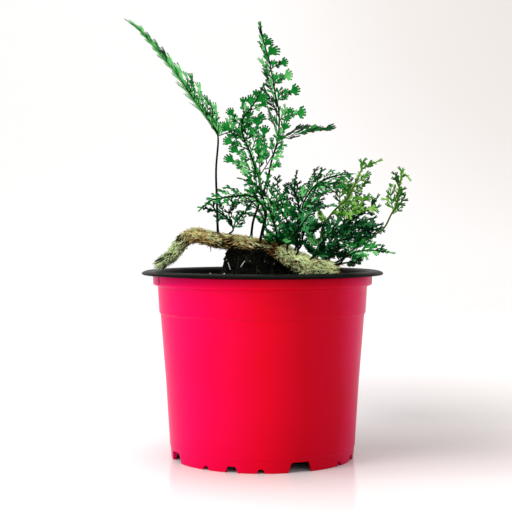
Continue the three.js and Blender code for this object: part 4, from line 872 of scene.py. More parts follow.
FRONDS = [
    Frond("frond_tall_left", "green", ("arch", 0.46), [
        (-24, -9, 124), (-24.5, -8, 139), (-25, -5, 155.5), (-24, -2, 173), (-26.9, 1, 179.6),
        (-32, 5, 186.5), (-38.7, 11, 196), (-45.8, 18, 206.9), (-52.8, 24, 216.1), (-62.8, 32, 228.6),
        (-71, 36.5, 238), (-76, 39, 242)
    ], fork=3, face=((0.2, -0.95, 0.25), (0.45, -0.75, 0.5)), turn=0.16, pairs=21, power=1.15, cut=13,
        basal=(1.4, 1.75, 0.1, 12, 32), left=(12, 30, 26, 60, 0, 0.05), right=(18, 42, 34, 6, 0, 0.05),
        taper=0.45, droop=0.1, seed=11, stipe=0.86, sleek=(0.6, 1.5, 0.4, 22, 1), streaks=(8.4, 1.6, 1.3),
        pale_streaks=0.65, fuller=1.35, is_bright=True, shift=0.3),
    Frond("frond_tall_middle", "green", ("arch", 0.22), [
        (-6, -9.5, 119.5), (-5, -8, 127.5), (-2, -6, 136.5), (2.5, -3, 149.5), (5, 0, 160.5), (8, 2, 170.5),
        (9, 3, 177.5), (9, 4, 187.5), (7, 5, 197.5), (5, 6, 209), (3.5, 6.5, 216.5), (1, 7, 225),
        (-1, 7, 234)
    ], fork=5, face=((-0.6, -0.8, 0), (-0.6, -0.8, 0.1)), pairs=8, power=1.6, basal=(1, 1.65, 1.6, 0, 0),
        left=(25, 36, 30, -8, 66), right=(20, 60, 44, -8, 0, -0.2), taper=0.65, seed=23, stipe=0.86,
        sleek=(0.62, 1.5, 0.45, 99, -0.35), streaks=(3.0, 9.5, 5.2), strap=28, fuller=1.55, is_bright=True,
        is_comb=True, shift=-0.14),
    Frond("frond_middle", "green", ("arch", 0.14), [
        (-1, -14, 118.5), (0.5, -15, 125.5), (2, -16, 131), (1, -16, 137.5), (-1, -16, 144),
        (-2, -16, 150.5), (-4, -16, 156), (-6.5, -15.5, 164), (-10.5, -15, 173), (-11, -15, 178.5),
        (-9.5, -15, 183.5), (-4.5, -14, 190), (0, -13, 198.5)
    ], fork=5, face=((0, -1, 0.1), (0.1, -1, 0.1)), pairs=8, power=1.1, basal=(1.2, 1.5, 0.3, 0, 12),
        left=(16, 56, 50, 10), right=(24, 46, 36, -5), taper=0.5, droop=0.06, seed=37, stipe=0.8,
        fuller=1.3, is_bright=True, is_comb=True, shift=-0.08),
    Frond("frond_low_left_bright", "green", ("arch", 0.02), [
        (0.5, -20, 120), (1.5, -24, 127), (0.5, -28, 134.5), (-3, -30, 139), (-7.5, -32, 141),
        (-12.5, -35, 140.5), (-19, -39, 139.5), (-26, -43, 138), (-30, -46, 134.5)
    ], fork=2, face=((-0.1, -0.9, 0.3), (-0.3, -0.8, 0.55)), pairs=6, power=1.1, basal=(0.9, 1, 0, 0, 0),
        left=(13, 55, 40), right=(15, 65, 40), taper=0.8, droop=0.1, seed=41, fuller=0.76, is_lacy=True,
        sprays=(1, 7.0)),
    Frond("frond_sweeping_left", "green", ("right", 0.36), [
        (17.5, -28, 114.5), (16.5, -27, 121), (13.5, -25, 126.5), (10, -23.5, 133), (5, -22.5, 137),
        (1, -22, 142), (-3.5, -22, 146.5), (-6.5, -22, 148.5), (-10, -22, 149.5)
    ], fork=3, face=((0, -0.95, 0.3), (0, -0.8, 0.6)), pairs=7, power=1.1, basal=(0.8, 0.9, 0.3, 0, 0),
        left=(12, 50, 40), right=(18, 72, 45), taper=0.6, droop=0.06, seed=43, fuller=0.8, is_lacy=True,
        sprays=(2, 7.5)),
    Frond("frond_low_left_small", "dark", ("arch", 0.36), [
        (-17.5, -12, 121), (-15.5, -14, 123), (-17.5, -16, 128), (-21.5, -18, 131.5), (-26, -20, 133.5),
        (-31, -22, 134.5)
    ], fork=1, face=((0, -1, 0.2), (0, -1, 0.3)), pairs=4, left=(8, 55, 45), right=(13, 62, 50), droop=0.1,
        seed=47, fuller=0.7, is_lacy=True),
    Frond("frond_centre_right", "green", ("right", 0.42), [
        (18.5, -31, 112.5), (18, -30, 120), (19.5, -29, 127), (20.5, -28, 133), (21.5, -27, 137.5),
        (24.5, -26, 142.5), (26.5, -25.5, 145), (29.5, -25, 147.5), (34, -24, 150), (41, -22, 152),
        (47.5, -20, 152.5)
    ], fork=5, face=((-0.3, -0.5, 0.8), (0, -0.5, 0.85)), pairs=7, power=1.1, left=(16, 60, 40),
        right=(15, 62, 45, -10), seed=53, fuller=0.9, is_lacy=True, sprays=(5, 10.0)),
    Frond("frond_centre_dark", "dark", ("back", 0.28), [
        (21, -6, 115), (21.5, -12, 123), (20.5, -14, 131.5), (18.5, -13, 139), (17, -13, 145.5),
        (18, -12, 152)
    ], fork=1, face=((0.1, -1, 0.2), (0, -1, 0.3)), pairs=7, basal=(0.8, 0.9, 0.3, 42, 42),
        left=(17, 60, 35), right=(18, 60, 35), taper=0.8, seed=59, fuller=0.88, is_lacy=True,
        sprays=(5, 10.5)),
    Frond("frond_right_yellow", "young", ("right", 0.72), [
        (29.5, -31, 112), (31, -26, 123), (33.5, -24, 127.5), (35.5, -23, 130.5), (38.5, -22, 134),
        (42.5, -22, 137.5), (45.5, -22, 141), (48, -21.5, 146), (50, -21, 150), (53, -20, 155.5),
        (60.5, -19, 159)
    ], fork=4, face=((0.1, -1, 0.15), (0, -1, 0.2)), pairs=6, power=1.1, left=(17, 55, 35, 0, 0, 0.12),
        right=(16, 55, 30, 0, 0, 0.12), taper=0.75, droop=0.06, seed=61, stipe=0.8, is_lacy=True,
        sprays=(4, 9.0)),
    Frond("frond_far_right", "young", ("back", 0.97), [
        (47, 2, 110), (52.5, -6, 115), (58.5, -11, 119.5), (64.5, -15, 124), (68, -17, 131),
        (71, -18, 136.5), (72, -18, 144), (73, -18, 149.5), (74.8, -18, 152.6), (76.4, -18, 151.2)
    ], fork=4, face=((0.25, -1, 0), (0.1, -1, 0)), pairs=5, left=(15, 55, 45, 0, 0, 0.15),
        right=(8, 40, 40, 0, 0, 0.15), taper=0.6, droop=0.06, seed=67, fuller=0.84, is_lacy=True),
    Frond("frond_low_right", "green", ("right", 0.9), [
        (38.5, -31.5, 106.5), (43, -31, 109), (48, -32, 111.5), (54, -33, 112.5), (59.5, -34, 112.3),
        (65, -35, 111.5)
    ], fork=1, face=((0, -0.7, 0.7), (0, -0.7, 0.7)), pairs=6, left=(11, 60, 40, 10), right=(8, 60, 40),
        droop=0.06, seed=71, is_lacy=True),
    Frond("frond_rim_right", "dark", ("right", 0.97), [
        (38, -39.5, 105.5), (42.5, -41, 106.3), (46, -42.3, 106.6), (50, -43.5, 106.2)
    ], fork=1, face=((0, -0.8, 0.6), (0, -0.8, 0.6)), pairs=4, left=(7, 55, 40, 5), right=(4, 55, 40, 30),
        taper=0.6, droop=0, seed=73),
    Frond("frond_right_dark_upper", "dark", ("back", 0.6), [
        (34, 0, 112), (38, -4, 118.5), (42.5, -6, 123.5), (47, -8, 127.5), (52.5, -9, 131.5),
        (58.5, -9, 135.5), (61, -9, 139.5)
    ], fork=2, face=((0, -0.95, 0.3), (0, -0.95, 0.3)), pairs=5, left=(18, 58, 40), right=(16, 55, 40),
        seed=79, is_lacy=True, sprays=(4, 9.0)),
    Frond("frond_right_dark_middle", "dark", ("back", 0.78), [
        (38, 4, 109.5), (42.5, 2, 114), (48, 1, 118), (53, 1, 121), (58, 0, 123.5), (63, -1, 125.5)
    ], fork=1, face=((0, -0.9, 0.4), (0, -0.9, 0.4)), pairs=5, left=(15, 55, 40), right=(14, 55, 40),
        seed=84, is_lacy=True, sprays=(3, 8.0)),
    Frond("frond_right_dark_lower", "dark", ("back", 0.5), [
        (31, -6, 110), (35, -12, 113.5), (39.5, -15, 116.5), (45, -16, 118.5), (51, -17, 119.5),
        (57, -19, 119.5)
    ], fork=1, face=((0, -0.9, 0.4), (0, -0.9, 0.4)), pairs=6, left=(14, 58, 40), right=(12, 55, 40),
        seed=89, is_lacy=True, sprays=(4, 9.0)),
    Frond("frond_mid_front", "green", ("right", 0.04), [
        (8, -20, 117), (7.5, -23, 120.5), (6, -25, 126), (4, -27, 132.5), (3, -28, 137)
    ], fork=1, face=((-0.1, -1, 0.2), (-0.1, -1, 0.2)), pairs=6, basal=(1.1, 1.1, 0.3, 34, 34),
        left=(13, 60, 40), right=(15, 60, 40), taper=0.6, seed=97, fuller=0.84, is_lacy=True,
        sprays=(4, 8.5)),
    Frond("frond_mid_front_small", "dark", ("right", 0.22), [
        (13, -25, 114.5), (14, -28, 117.5), (17, -31, 121.5), (21, -34, 126.5), (24, -36, 131)
    ], fork=1, face=((0.1, -1, 0.2), (0.1, -1, 0.2)), pairs=5, basal=(1, 1.1, 0.3, 36, 36),
        left=(15, 60, 40), right=(15, 60, 40), taper=0.6, seed=101, fuller=0.8, is_lacy=True,
        sprays=(4, 8.5)),
    Frond("frond_low_front", "dark", ("right", 0.62), [
        (26.5, -37, 110), (28, -39.5, 113.5), (30.5, -41.5, 117), (34, -43, 121), (38, -44, 124)
    ], fork=1, face=((0.1, -1, 0.2), (0.1, -1, 0.3)), pairs=4, basal=(1.1, 1.1, 0.3, 34, 34),
        left=(13, 60, 40), right=(12, 60, 40), taper=0.6, seed=113, fuller=0.84, is_lacy=True,
        sprays=(4, 9.0)),
    Frond("frond_back_middle", "dark", ("back", 0.15), [
        (15.5, 0, 117.5), (18.5, 12, 126), (23, 24, 135), (27.5, 34, 142), (32.5, 44, 149), (37.5, 52, 153)
    ], fork=2, face=((0.1, -0.6, 0.8), (0.1, -0.4, 0.9)), pairs=3, power=1.1, cut=14, left=(17, 60, 35, 5),
        right=(17, 60, 35, 5), taper=0.8, droop=0.1, seed=103),
    Frond("frond_back_right", "dark", ("back", 0.85), [
        (39, 20, 111), (43, 30, 121), (48.5, 39, 129), (54, 46, 134), (59, 51, 137)
    ], fork=1, face=((-0.2, -0.6, 0.8), (-0.2, -0.4, 0.9)), pairs=3, power=1.1, cut=14,
        left=(14, 60, 35, 5), right=(13, 60, 35, 5), taper=0.8, droop=0.1, seed=107),
    Frond("frond_back_left", "green", ("arch", 0.08), [
        (3, 4, 119), (1, 16, 128), (-2.5, 28, 135), (-7, 39, 140), (-11.5, 47, 142.5)
    ], fork=1, face=((0.1, -0.6, 0.8), (0.1, -0.3, 0.9)), pairs=4, power=1.1, cut=14, left=(15, 60, 35, 5),
        right=(15, 60, 35, 5), taper=0.8, droop=0.1, seed=109),
]


class Room:
    """What stems and strips of leaf have taken, each as up to six lines: its sides and end first."""

    def __init__(self):
        self.size = 0
        self.starts, self.ends = (np.zeros((ROOM_SIZE, ROOM_LINES, 3)) for _ in range(2))
        self.centres = np.zeros((ROOM_SIZE, 3))
        self.reaches, self.radii = np.zeros(ROOM_SIZE), np.zeros(ROOM_SIZE)
        self.fronds, self.leaves = np.zeros(ROOM_SIZE, np.int64), np.zeros(ROOM_SIZE, np.int64)
        self.stems, self.spots = np.zeros(ROOM_SIZE, bool), np.full((ROOM_SIZE, 4), -1)

    def add(self, lines, radius, bounds, frond, leaf=-1, spots=(-1, -1, -1, -1)):
        if self.size == len(self.radii):
            for name, old in vars(self).items():
                if name != "size":
                    setattr(self, name, np.concatenate([old, np.zeros_like(old)]))
        i = self.size
        for k in range(ROOM_LINES):
            self.starts[i, k], self.ends[i, k] = lines[min(k, len(lines) - 1)]
        (self.centres[i], self.reaches[i]), self.radii[i] = bounds, radius
        self.fronds[i], self.leaves[i], self.stems[i], self.spots[i] = frond, leaf, leaf < 0, spots
        self.size += 1


def line_gaps(p, q, starts, ends):
    """Nearest distance between the line p to q and each of many lines."""
    first, second, between = q - p, ends - starts, p - starts
    a = first @ first
    b, c = second @ first, between @ first
    e, f = np.einsum("ij,ij->i", second, second), np.einsum("ij,ij->i", second, between)
    spread = a * e - b * b
    s = np.where(spread > 1e-9, np.clip((b * f - c * e) / np.where(spread > 1e-9, spread, 1), 0, 1), 0)
    t = (b * s + f) / e
    s = np.where(t < 0, np.clip(-c / a, 0, 1), np.where(t > 1, np.clip((b - c) / a, 0, 1), s))
    t = np.clip(t, 0, 1)
    return np.linalg.norm(between + s[:, None] * first - t[:, None] * second, axis=1)


room = Room()
queue = []


def measure(lines, radius):
    """The middle of some lines and the reach of all of them from there."""
    start, end = lines[3 if len(lines) > 3 else 0]
    centre = start + (end - start) * 0.5
    return centre, max(np.linalg.norm(place - centre) for line in lines for place in line) + radius


def is_free(leaf, lines, bounds, spots):
    """Whether a strip keeps its gaps; where it joins its stem or rib, only its far end has to."""
    n = room.size
    centre, reach = bounds
    is_foot = spots[0] < leaf.frond.stem_spots
    apart = np.linalg.norm(room.centres[:n] - centre, axis=1)
    for i in np.nonzero(apart <= reach + room.reaches[:n] + FROND_GAP)[0]:
        kin, is_stem = room.fronds[i] == leaf.frond.number, room.stems[i]
        gap = BLADE / 2 + room.radii[i] + (LEAFLET_GAP if kin else FROND_GAP)
        mine, chosen = lines, slice(0, ROOM_LINES)
        joined = is_foot if is_stem else any(spot in room.spots[i] for spot in spots)
        if kin and joined:
            mine = lines[2:3]
            chosen = slice(0, ROOM_LINES) if is_stem else slice(0, 3)
            gap = room.radii[i] + BLADE / 2 if is_stem else LOBE_GAP
        elif kin and not is_stem and room.leaves[i] == leaf.number:
            gap = LOBE_GAP
        starts, ends = room.starts[i, chosen], room.ends[i, chosen]
        for p, q in mine:
            if line_gaps(p, q, starts, ends).min() < gap:
                return False
    return True


class Leaf:
    """One leaflet's flat plane, bowed down along its length."""

    count = 0

    def __init__(self, frond, root, along, up, reach, droop):
        Leaf.count += 1
        self.number, self.frond, self.root, self.along, self.up = Leaf.count, frond, root, along, up
        self.reach, self.droop = reach, droop
        self.across = along.cross(up).normalized()

    def place(self, x, y, rise=0.0):
        far = math.hypot(x, y) / self.reach
        rise = rise - self.droop * self.reach * far * far
        return self.root + self.across * x + self.along * y + self.up * rise


def add_strip(leaf, a, b, x, y, turn, half):
    """A strip from the spots a and b to a line across x, y, if there is room for it."""
    left = leaf.place(x - half * math.cos(turn), y + half * math.sin(turn))
    right = leaf.place(x + half * math.cos(turn), y - half * math.sin(turn))
    spots = leaf.frond.spots
    near_left, far_left, near_right, far_right = [np.array(v) for v in (spots[a], left, spots[b], right)]
    lines = [(near_left, far_left), (near_right, far_right), (far_left, far_right)]
    for share in (0.5, 0.25, 0.75) if half > WIDE_HALF else (0.5,):
        lines.append((
            near_left + (near_right - near_left) * share, far_left + (far_right - far_left) * share))
    bounds = measure(lines, BLADE / 2)
    if not is_free(leaf, lines, bounds, (a, b)):
        return None
    end = leaf.frond.add_spot(left), leaf.frond.add_spot(right)
    room.add(lines, BLADE / 2, bounds, leaf.frond.number, leaf.number, (a, b, *end))
    return end


def lobe_half(length, is_fan):
    return min(FAN_HALF, FAN_SPREAD * length) if is_fan else min(LOBE_HALF, LOBE_ROOT + LOBE_SPREAD * length)


def grow(leaf, a, b, x, y, angle, reach, leading, bend, is_fan):
    """Grows from the spots a and b: a lobe where the reach is short, or else a rib with side lobes."""
    frond = leaf.frond
    if reach < frond.cut:
        for share, narrow in LOBE_TRIES:
            length = reach * share
            half = lobe_half(length, is_fan) * narrow
            end_x, end_y = x + length * math.sin(angle), y + length * math.cos(angle)
            if add_strip(leaf, a, b, end_x, end_y, angle, half):
                frond.lobes.append((leaf, x, y, angle, length, half, bend))
                return
        return
    tip = min(FAN_MOST, FAN_SHARE * reach)
    rib = reach - tip
    count = max(2, math.floor(rib / (RIB_STEP + RIB_STEP_SHARE * reach) + 0.5))
    turn, left, right = angle, a, b
    for i in range(count):
        share = i / count
        turn += bend / count
        start_x, start_y = x, y
        x, y = x + rib / count * math.sin(turn), y + rib / count * math.cos(turn)
        half = RIB_HALF * (1 - RIB_TAPER * share)
        end = add_strip(leaf, left, right, x, y, turn, half)
        if not end:
            return
        frond.ribs.append((leaf, start_x, start_y, x, y, turn, half))
        near, far = (UPPER_SHARE, LOWER_SHARE) if i % 2 == 0 else (LOWER_SHARE, UPPER_SHARE)
        side = leading if i % 2 == 0 else -leading
        foot = (end[1], right) if side > 0 else (left, end[0])
        faded, lean = reach * (1 - share) ** FADE, LOBE_LEAN - LEAN_FALL * share
        queue.append((
            leaf, *foot, (start_x + x) / 2 + side * half * math.cos(turn),
            (start_y + y) / 2 - side * half * math.sin(turn), turn + side * lean,
            max(LEAST_REACH, faded * near), -side, -side * LOBE_BEND, False))
        left, right = end
        small = max(LEAST_REACH, faded * far) * EXTRA_SHARE
        if (i > 0 or reach > EXTRA_FOOT) and small < EXTRA_CUT:
            frond.extras.append((
                leaf, start_x * 0.4 + x * 0.6 - side * half * math.cos(turn),
                start_y * 0.4 + y * 0.6 + side * half * math.sin(turn), turn - side * lean, small,
                lobe_half(small, False) * EXTRA_HALF, side * LOBE_BEND))
    queue.append((leaf, left, right, x, y, turn, tip, leading, 0.0, True))


def leaflet_plan(frond):
    """Each leaflet's place on the stem, its side, directions, reach and curl."""
    draw = make_random(frond.seed)
    for pair_number in range(frond.pairs):
        is_first = pair_number == 0
        for side in (1, -1):
            is_right = side > 0
            along_pairs = (pair_number + (0 if is_right else LEFT_LAG)) / frond.pairs
            share = 1 - (1 - along_pairs) ** frond.power
            distance = frond.fork_at + 1 + share * (frond.length - frond.fork_at - 1) * LEAFLET_SPAN
            reach, wide, close, fold, roll, curl = frond.side_plan(side)
            tangent, up, sideways = frond.directions(distance, share, side)
            lowest = frond.basal[4 if is_right else 3] if is_first else 0
            angle = math.radians(lowest + wide + (close - wide) * share + draw(-4, 4))
            folded = math.radians(fold + (FOLD_STEP if pair_number % 2 else -FOLD_STEP) + draw(-2, 2))
            outward = sideways * math.cos(folded) + up * math.sin(folded)
            along = tangent * math.cos(angle) + outward * math.sin(angle)
            normal = up * math.cos(folded) - sideways * math.sin(folded)
            longer = frond.basal[1 if is_right else 0] if is_first else 1
            size = max(LEAST_LEAFLET, reach * longer * (1 - share) ** frond.taper * draw(0.92, 1.06))
            if is_first:
                normal.z += frond.basal[2]
            normal = Quaternion(along, math.radians(roll)) @ level(normal, along)
            yield distance, side, along, normal, size, CURL * curl


def start_frond(frond):
    """Marks the feet of a frond's leaflets, takes the room of its stem and queues the leaflets."""
    track = frond.track
    feet = []
    for distance, side, along, up, reach, curl in leaflet_plan(frond):
        edge = []
        for spot in (distance - LEAFLET_FOOT, distance + LEAFLET_FOOT):
            outward = frond.directions(spot, frond.share(spot), side)[2]
            edge.append(frond.add_spot(track.at(spot) + outward * frond.radius(spot)))
        a, b = (edge[1], edge[0]) if side > 0 else (edge[0], edge[1])
        feet.append((a, b, along, up, reach, -side, curl, frond.droop))
    tips = []
    for side in (-1, 1):
        end, flat, outward = frond.directions(frond.length, 1, side)
        tips.append(frond.add_spot(track.at(frond.length) + outward * TIP_RADIUS))
    feet.append((*tips, end, flat, TIP_REACH, 1, 0.0, 0.0))
    frond.stem_spots = len(frond.spots)
    stations = [0, SOCKET_REACH / 2, SOCKET_REACH]
    for low, high in ((SOCKET_REACH, frond.fork_at), (frond.fork_at, frond.length)):
        steps = math.floor((high - low) / STEM_STEP + 0.5)
        stations += [low + (high - low) * i / steps for i in range(1, steps + 1)]
    for before, after in zip(stations, stations[1:]):
        line = [(np.array(track.at(before)), np.array(track.at(after)))]
        radius = frond.radius(before)
        room.add(line, radius, measure(line, radius), frond.number)
    for a, b, along, up, reach, leading, curl, droop in feet:
        leaf = Leaf(frond, (frond.spots[a] + frond.spots[b]) / 2, along, up, reach, droop)
        queue.append((leaf, a, b, 0.0, 0.0, 0.0, reach, leading, leading * curl, True))


def grow_all():
    """Grows all the fronds together, a step of each at a time."""
    for name, track in TRACKS.items():
        share = 0.0
        while share < 1:
            line = [tuple(np.array(track.at(part * track.total)) for part in (share, share + 0.1))]
            radius = runner_radius(name, share)
            room.add(line, radius, measure(line, radius), -1)
            share += 0.1
    for number, frond in enumerate(FRONDS):
        frond.number = number
        start_frond(frond)
    position = 0
    while position < len(queue):
        grow(*queue[position])
        position += 1


# Leaf shapes

LOBE_THIN, EDGE_THIN = 0.13, 0.4
FAN_FROM = 1.4
# For each kind of lobe: how far its corners fall back, where its fingers start, how wide it is
# there, how far its fingers lean apart, and how broad they are
LOBE_KINDS = {
    "wedge": (0.14, 0.62, 0.92, 0.18, 0.9),
    "fan": (0.22, 0.42, 0.66, 0.34, 0.88),
    "comb": (0.32, 0.74, 0.92, 0.5, 0.88),
}
# The half widths of a lobe at which it gets one finger more
FINGER_WIDTHS = (0.6, 1.05, 2.0)
# Rows along a lobe: how far along it, and its half width as a fixed part and a share of the
# lobe's own. Fans and combs have no third row.
LOBE_FOOT, LOBE_ROWS = (-0.3, 0.24), ((0.14, 0.26, 0.2), (0.28, 0.2, 0.42), (0.44, 0.1, 0.7))
# A finger's outline: how far out from its root, and how far across
FINGER = ((0.3, -0.84), (0.76, -1.06), (1.0, -0.46), (1.0, 0.46), (0.76, 1.06), (0.3, 0.84))
SPRIG_LENGTH, SPRIG_SHARE, LACY_LENGTH = 5.0, 4.2, 4
PINNULE_STEP, PINNULE_LENGTH, PINNULE_HALF, PINNULE_LEAN = 1.5, 3.7, 0.9, 0.62
SPRAY_STEPS = 5
# How far a leaflet leans to pale or deep, how far each lobe strays from that, and where they begin
LEANING, STRAYING, PALE_ABOVE, DEEP_BELOW = 0.35, 0.5, 0.34, -0.2
TIP_SLIM, STRAP_ANGLE, STRAP_LENGTH, STRAP_HALF, BRIGHT_LENGTH = 0.55, 0.35, 1.25, 1.7, 3
STEM_ROW, STEM_SIDES = 1.5, 8


def add_lobe(parts, leaf, x, y, angle, length, half, bend, draw, slot):
    """A thin wedge, narrow at its foot, whose end is cut into rounded fingers."""
    length *= draw(1.02, 1.1)
    wide = half * draw(0.9, 1.02)
    kind = "wedge" if wide <= FAN_FROM else "comb" if leaf.frond.is_comb else "fan"
    count = 1 + sum(wide >= limit for limit in FINGER_WIDTHS)
    if kind == "comb" and wide >= FINGER_WIDTHS[-1]:
        count += 1
    fall, body, waist, lean, broad = LOBE_KINDS[kind]
    neck = wide * waist
    rows = [LOBE_FOOT]
    for along, fixed, share in LOBE_ROWS[:3 if kind == "wedge" else 2]:
        rows.append((length * along, fixed + share * wide))
    columns = [2 * k / count - 1 for k in range(count + 1)]
    grid = [[(u, w * v) for v in columns] for u, w in rows]
    grid.append([(length * (body - fall * v ** 2), neck * v) for v in columns])
    fingers = []
    for k in range(count):
        side = (2 * k + 1) / count - 1 if count > 1 else 0.0
        root = length * (body - fall * side * side)
        reach = length * (1 - fall * side * side) * draw(0.95, 1.03)
        ring = []
        for u, across in FINGER:
            far = root + (reach - root) * u
            ring.append((far, neck * side + lean * side * (far - root) + across * (wide / count * broad)))
        fingers.append(ring)

    def spot(u, v, thick):
        turned = angle + bend * 0.9 * u / length
        rise = 0.2 * abs(v) - 0.05 * length * (u / length) ** 2 + thick
        return parts.spot(leaf.place(
            x + u * math.sin(turned) + v * math.cos(turned),
            y + u * math.cos(turned) - v * math.sin(turned), rise))

    tops, unders = [], []
    for thick, kept in ((LOBE_THIN, tops), (-LOBE_THIN, unders)):
        for row in grid:
            for k, (u, v) in enumerate(row):
                kept.append(spot(u, v, thick * EDGE_THIN if k in (0, count) else thick))
        for ring in fingers:
            kept += [spot(u, v, thick * EDGE_THIN) for u, v in ring]

    def skin(corners, top):
        parts.add((tops[k] for k in corners), top)
        parts.add((unders[k] for k in reversed(corners)), PALE)

    wide_row = count + 1
    for r in range(len(grid) - 1):
        left, right = r * wide_row, r * wide_row + count
        for a in range(left, right):
            skin((a, a + wide_row, a + wide_row + 1, a + 1), slot)
        for k in (left, right):
            loop = (tops[k], unders[k], unders[k + wide_row], tops[k + wide_row])
            parts.add(loop if k == left else reversed(loop), SHADED_EDGE)
    base = (len(grid) - 1) * wide_row
    for k in range(count):
        first = len(grid) * wide_row + len(FINGER) * k
        skin((base + k, first, first + 5, base + k + 1), slot)
        skin((first, first + 1, first + 4, first + 5), slot)
        # Painted shade: the outer part of each finger takes the darker edge tone
        skin((first + 1, first + 2, first + 3, first + 4), SHADED_EDGE)
        loop = (base + k, *range(first, first + len(FINGER)), base + k + 1)
        for m, n in zip(loop, loop[1:]):
            parts.add((tops[m], unders[m], unders[n], tops[n]), SHADED_EDGE)


def add_sprig(parts, leaf, x, y, angle, length, half, bend, draw, slot):
    """A long narrow lobe as a slim rib with small pinnules on both sides and a fan at its end."""
    add_lobe(parts, leaf, x, y, angle, length * 0.7, half * 0.5, bend, draw, slot)
    count = round(length / PINNULE_STEP)
    for k in range(1, count):
        share = k / count
        side = 1 if k % 2 else -1
        turned = angle + bend * 0.9 * share
        middle_x, middle_y = x + length * share * math.sin(turned), y + length * share * math.cos(turned)
        size, wide = PINNULE_LENGTH * (1 - 0.4 * share) * draw(0.9, 1.1), PINNULE_HALF * (1 - 0.25 * share)
        add_lobe(parts, leaf, middle_x, middle_y, turned + side * PINNULE_LEAN, size, wide, 0.0, draw, slot)


def add_rib(parts, leaf, start_x, start_y, next_x, next_y, turn, half):
    """A narrow dark rib, roof-shaped above and flatter below."""
    width, rise = half * 0.72, half * 0.6
    first = len(parts.vertices)
    for x, y in ((start_x, start_y), (next_x, next_y)):
        for v, z in ((-width, 0.0), (0.0, rise), (width, 0.0), (0.0, -rise * 0.6)):
            parts.spot(leaf.place(x + v * math.cos(turn), y - v * math.sin(turn), z))
    parts.close(first, 2, 4, STEM, True)


def sleeker(leaf, x, y, angle, length, half, bend):
    """A lobe of an edge-on leaflet: longer, narrower and swung towards the frond's own tip."""
    narrow, longer, swing = leaf.frond.sleek[:3]
    heading = (leaf.frond.track.at(leaf.frond.length) - leaf.root).normalized()
    towards = math.atan2(heading.dot(leaf.across), heading.dot(leaf.along))
    return leaf, x, y, angle + (towards - angle) * swing, length * longer, half * narrow, bend


def any_tone(draw, pale, plain):
    return PALE if draw(0, 1) < pale else LEAF if draw(0, 1) < plain else DEEP


def add_sprays(parts, frond, draw):
    """Small sprays of pinnules on the upper part of the stipe, where the thicket is densest."""
    count, reach = frond.sprays
    for k in range(count):
        distance = 5.5 + (frond.fork_at - 6.5) * (k + 0.6) / count
        side = 1 if k % 2 else -1
        heading, up, sideways = frond.directions(distance, 0, side)
        angle = draw(0.75, 1.05)
        along = (heading * math.cos(angle) + sideways * math.sin(angle) + up * draw(-0.1, 0.35)).normalized()
        size = reach * draw(0.8, 1.15)
        leaf = Leaf(frond, frond.track.at(distance), along, level(up, along), size, 0.12)
        for i in range(SPRAY_STEPS):
            near, far = size * 0.8 * i / SPRAY_STEPS, size * 0.8 * (i + 1) / SPRAY_STEPS
            add_rib(parts, leaf, 0.0, near, 0.0, far, 0.0, 0.34)
            for turned in (-1, 1):
                if i == 0 and turned == side:
                    continue
                lean, tone = turned * draw(0.6, 0.85), any_tone(draw, 0.25, 0.5)
                add_lobe(
                    parts, leaf, 0.0, near + (0.5 + 0.25 * turned) * (far - near), lean,
                    size * 0.38 * (1 - 0.5 * i / SPRAY_STEPS), 0.68, 0.0, draw, tone)
        add_lobe(parts, leaf, 0.0, size * 0.76, 0.0, size * 0.32, 0.9, 0.0, draw, LEAF)


def add_streaks(parts, frond, draw):
    """Small upswept pinnules set close along the rachis, between the feet of its leaflets."""
    right, left, gap = frond.streaks
    distance, side = frond.fork_at + 1.2, 1
    while distance < frond.length - 0.6:
        share = frond.share(distance)
        heading, up, sideways = frond.directions(distance, share, side)
        angle = draw(0.3, 0.6)
        along = heading * math.cos(angle) + sideways * math.sin(angle)
        size = (right if side > 0 else left) * (1 - 0.5 * share) * draw(0.8, 1.15)
        root = frond.track.at(distance) + sideways * frond.radius(distance) * 0.6
        leaf = Leaf(frond, root, along, level(up, along), size, 0.1)
        tone = any_tone(draw, frond.pale_streaks, 0.6)
        add_lobe(parts, leaf, 0.0, 0.0, 0.0, size, 0.5 + 0.05 * size, -0.1 * side, draw, tone)
        distance, side = distance + gap * draw(0.4, 0.62), -side


def add_stem(parts, frond):
    """The stipe and rachis, a little thicker where the stipe leaves its socket."""
    stations = [0.0]
    while stations[-1] < frond.length - 0.8:
        stations.append(stations[-1] + STEM_ROW)
    stations.append(frond.length + 0.4)
    radii = []
    for d in stations:
        slim = frond.stipe if d < frond.fork_at else 0.8
        swell = 0.4 * max(0.0, 1 - (d - SOCKET_DEPTH) / 2.5) * (d >= SOCKET_DEPTH)
        radii.append(frond.radius(min(d, frond.length)) * slim * (1 + swell))
    parts.tube([frond.track.at(d) for d in stations], radii, STEM_SIDES, STEM)


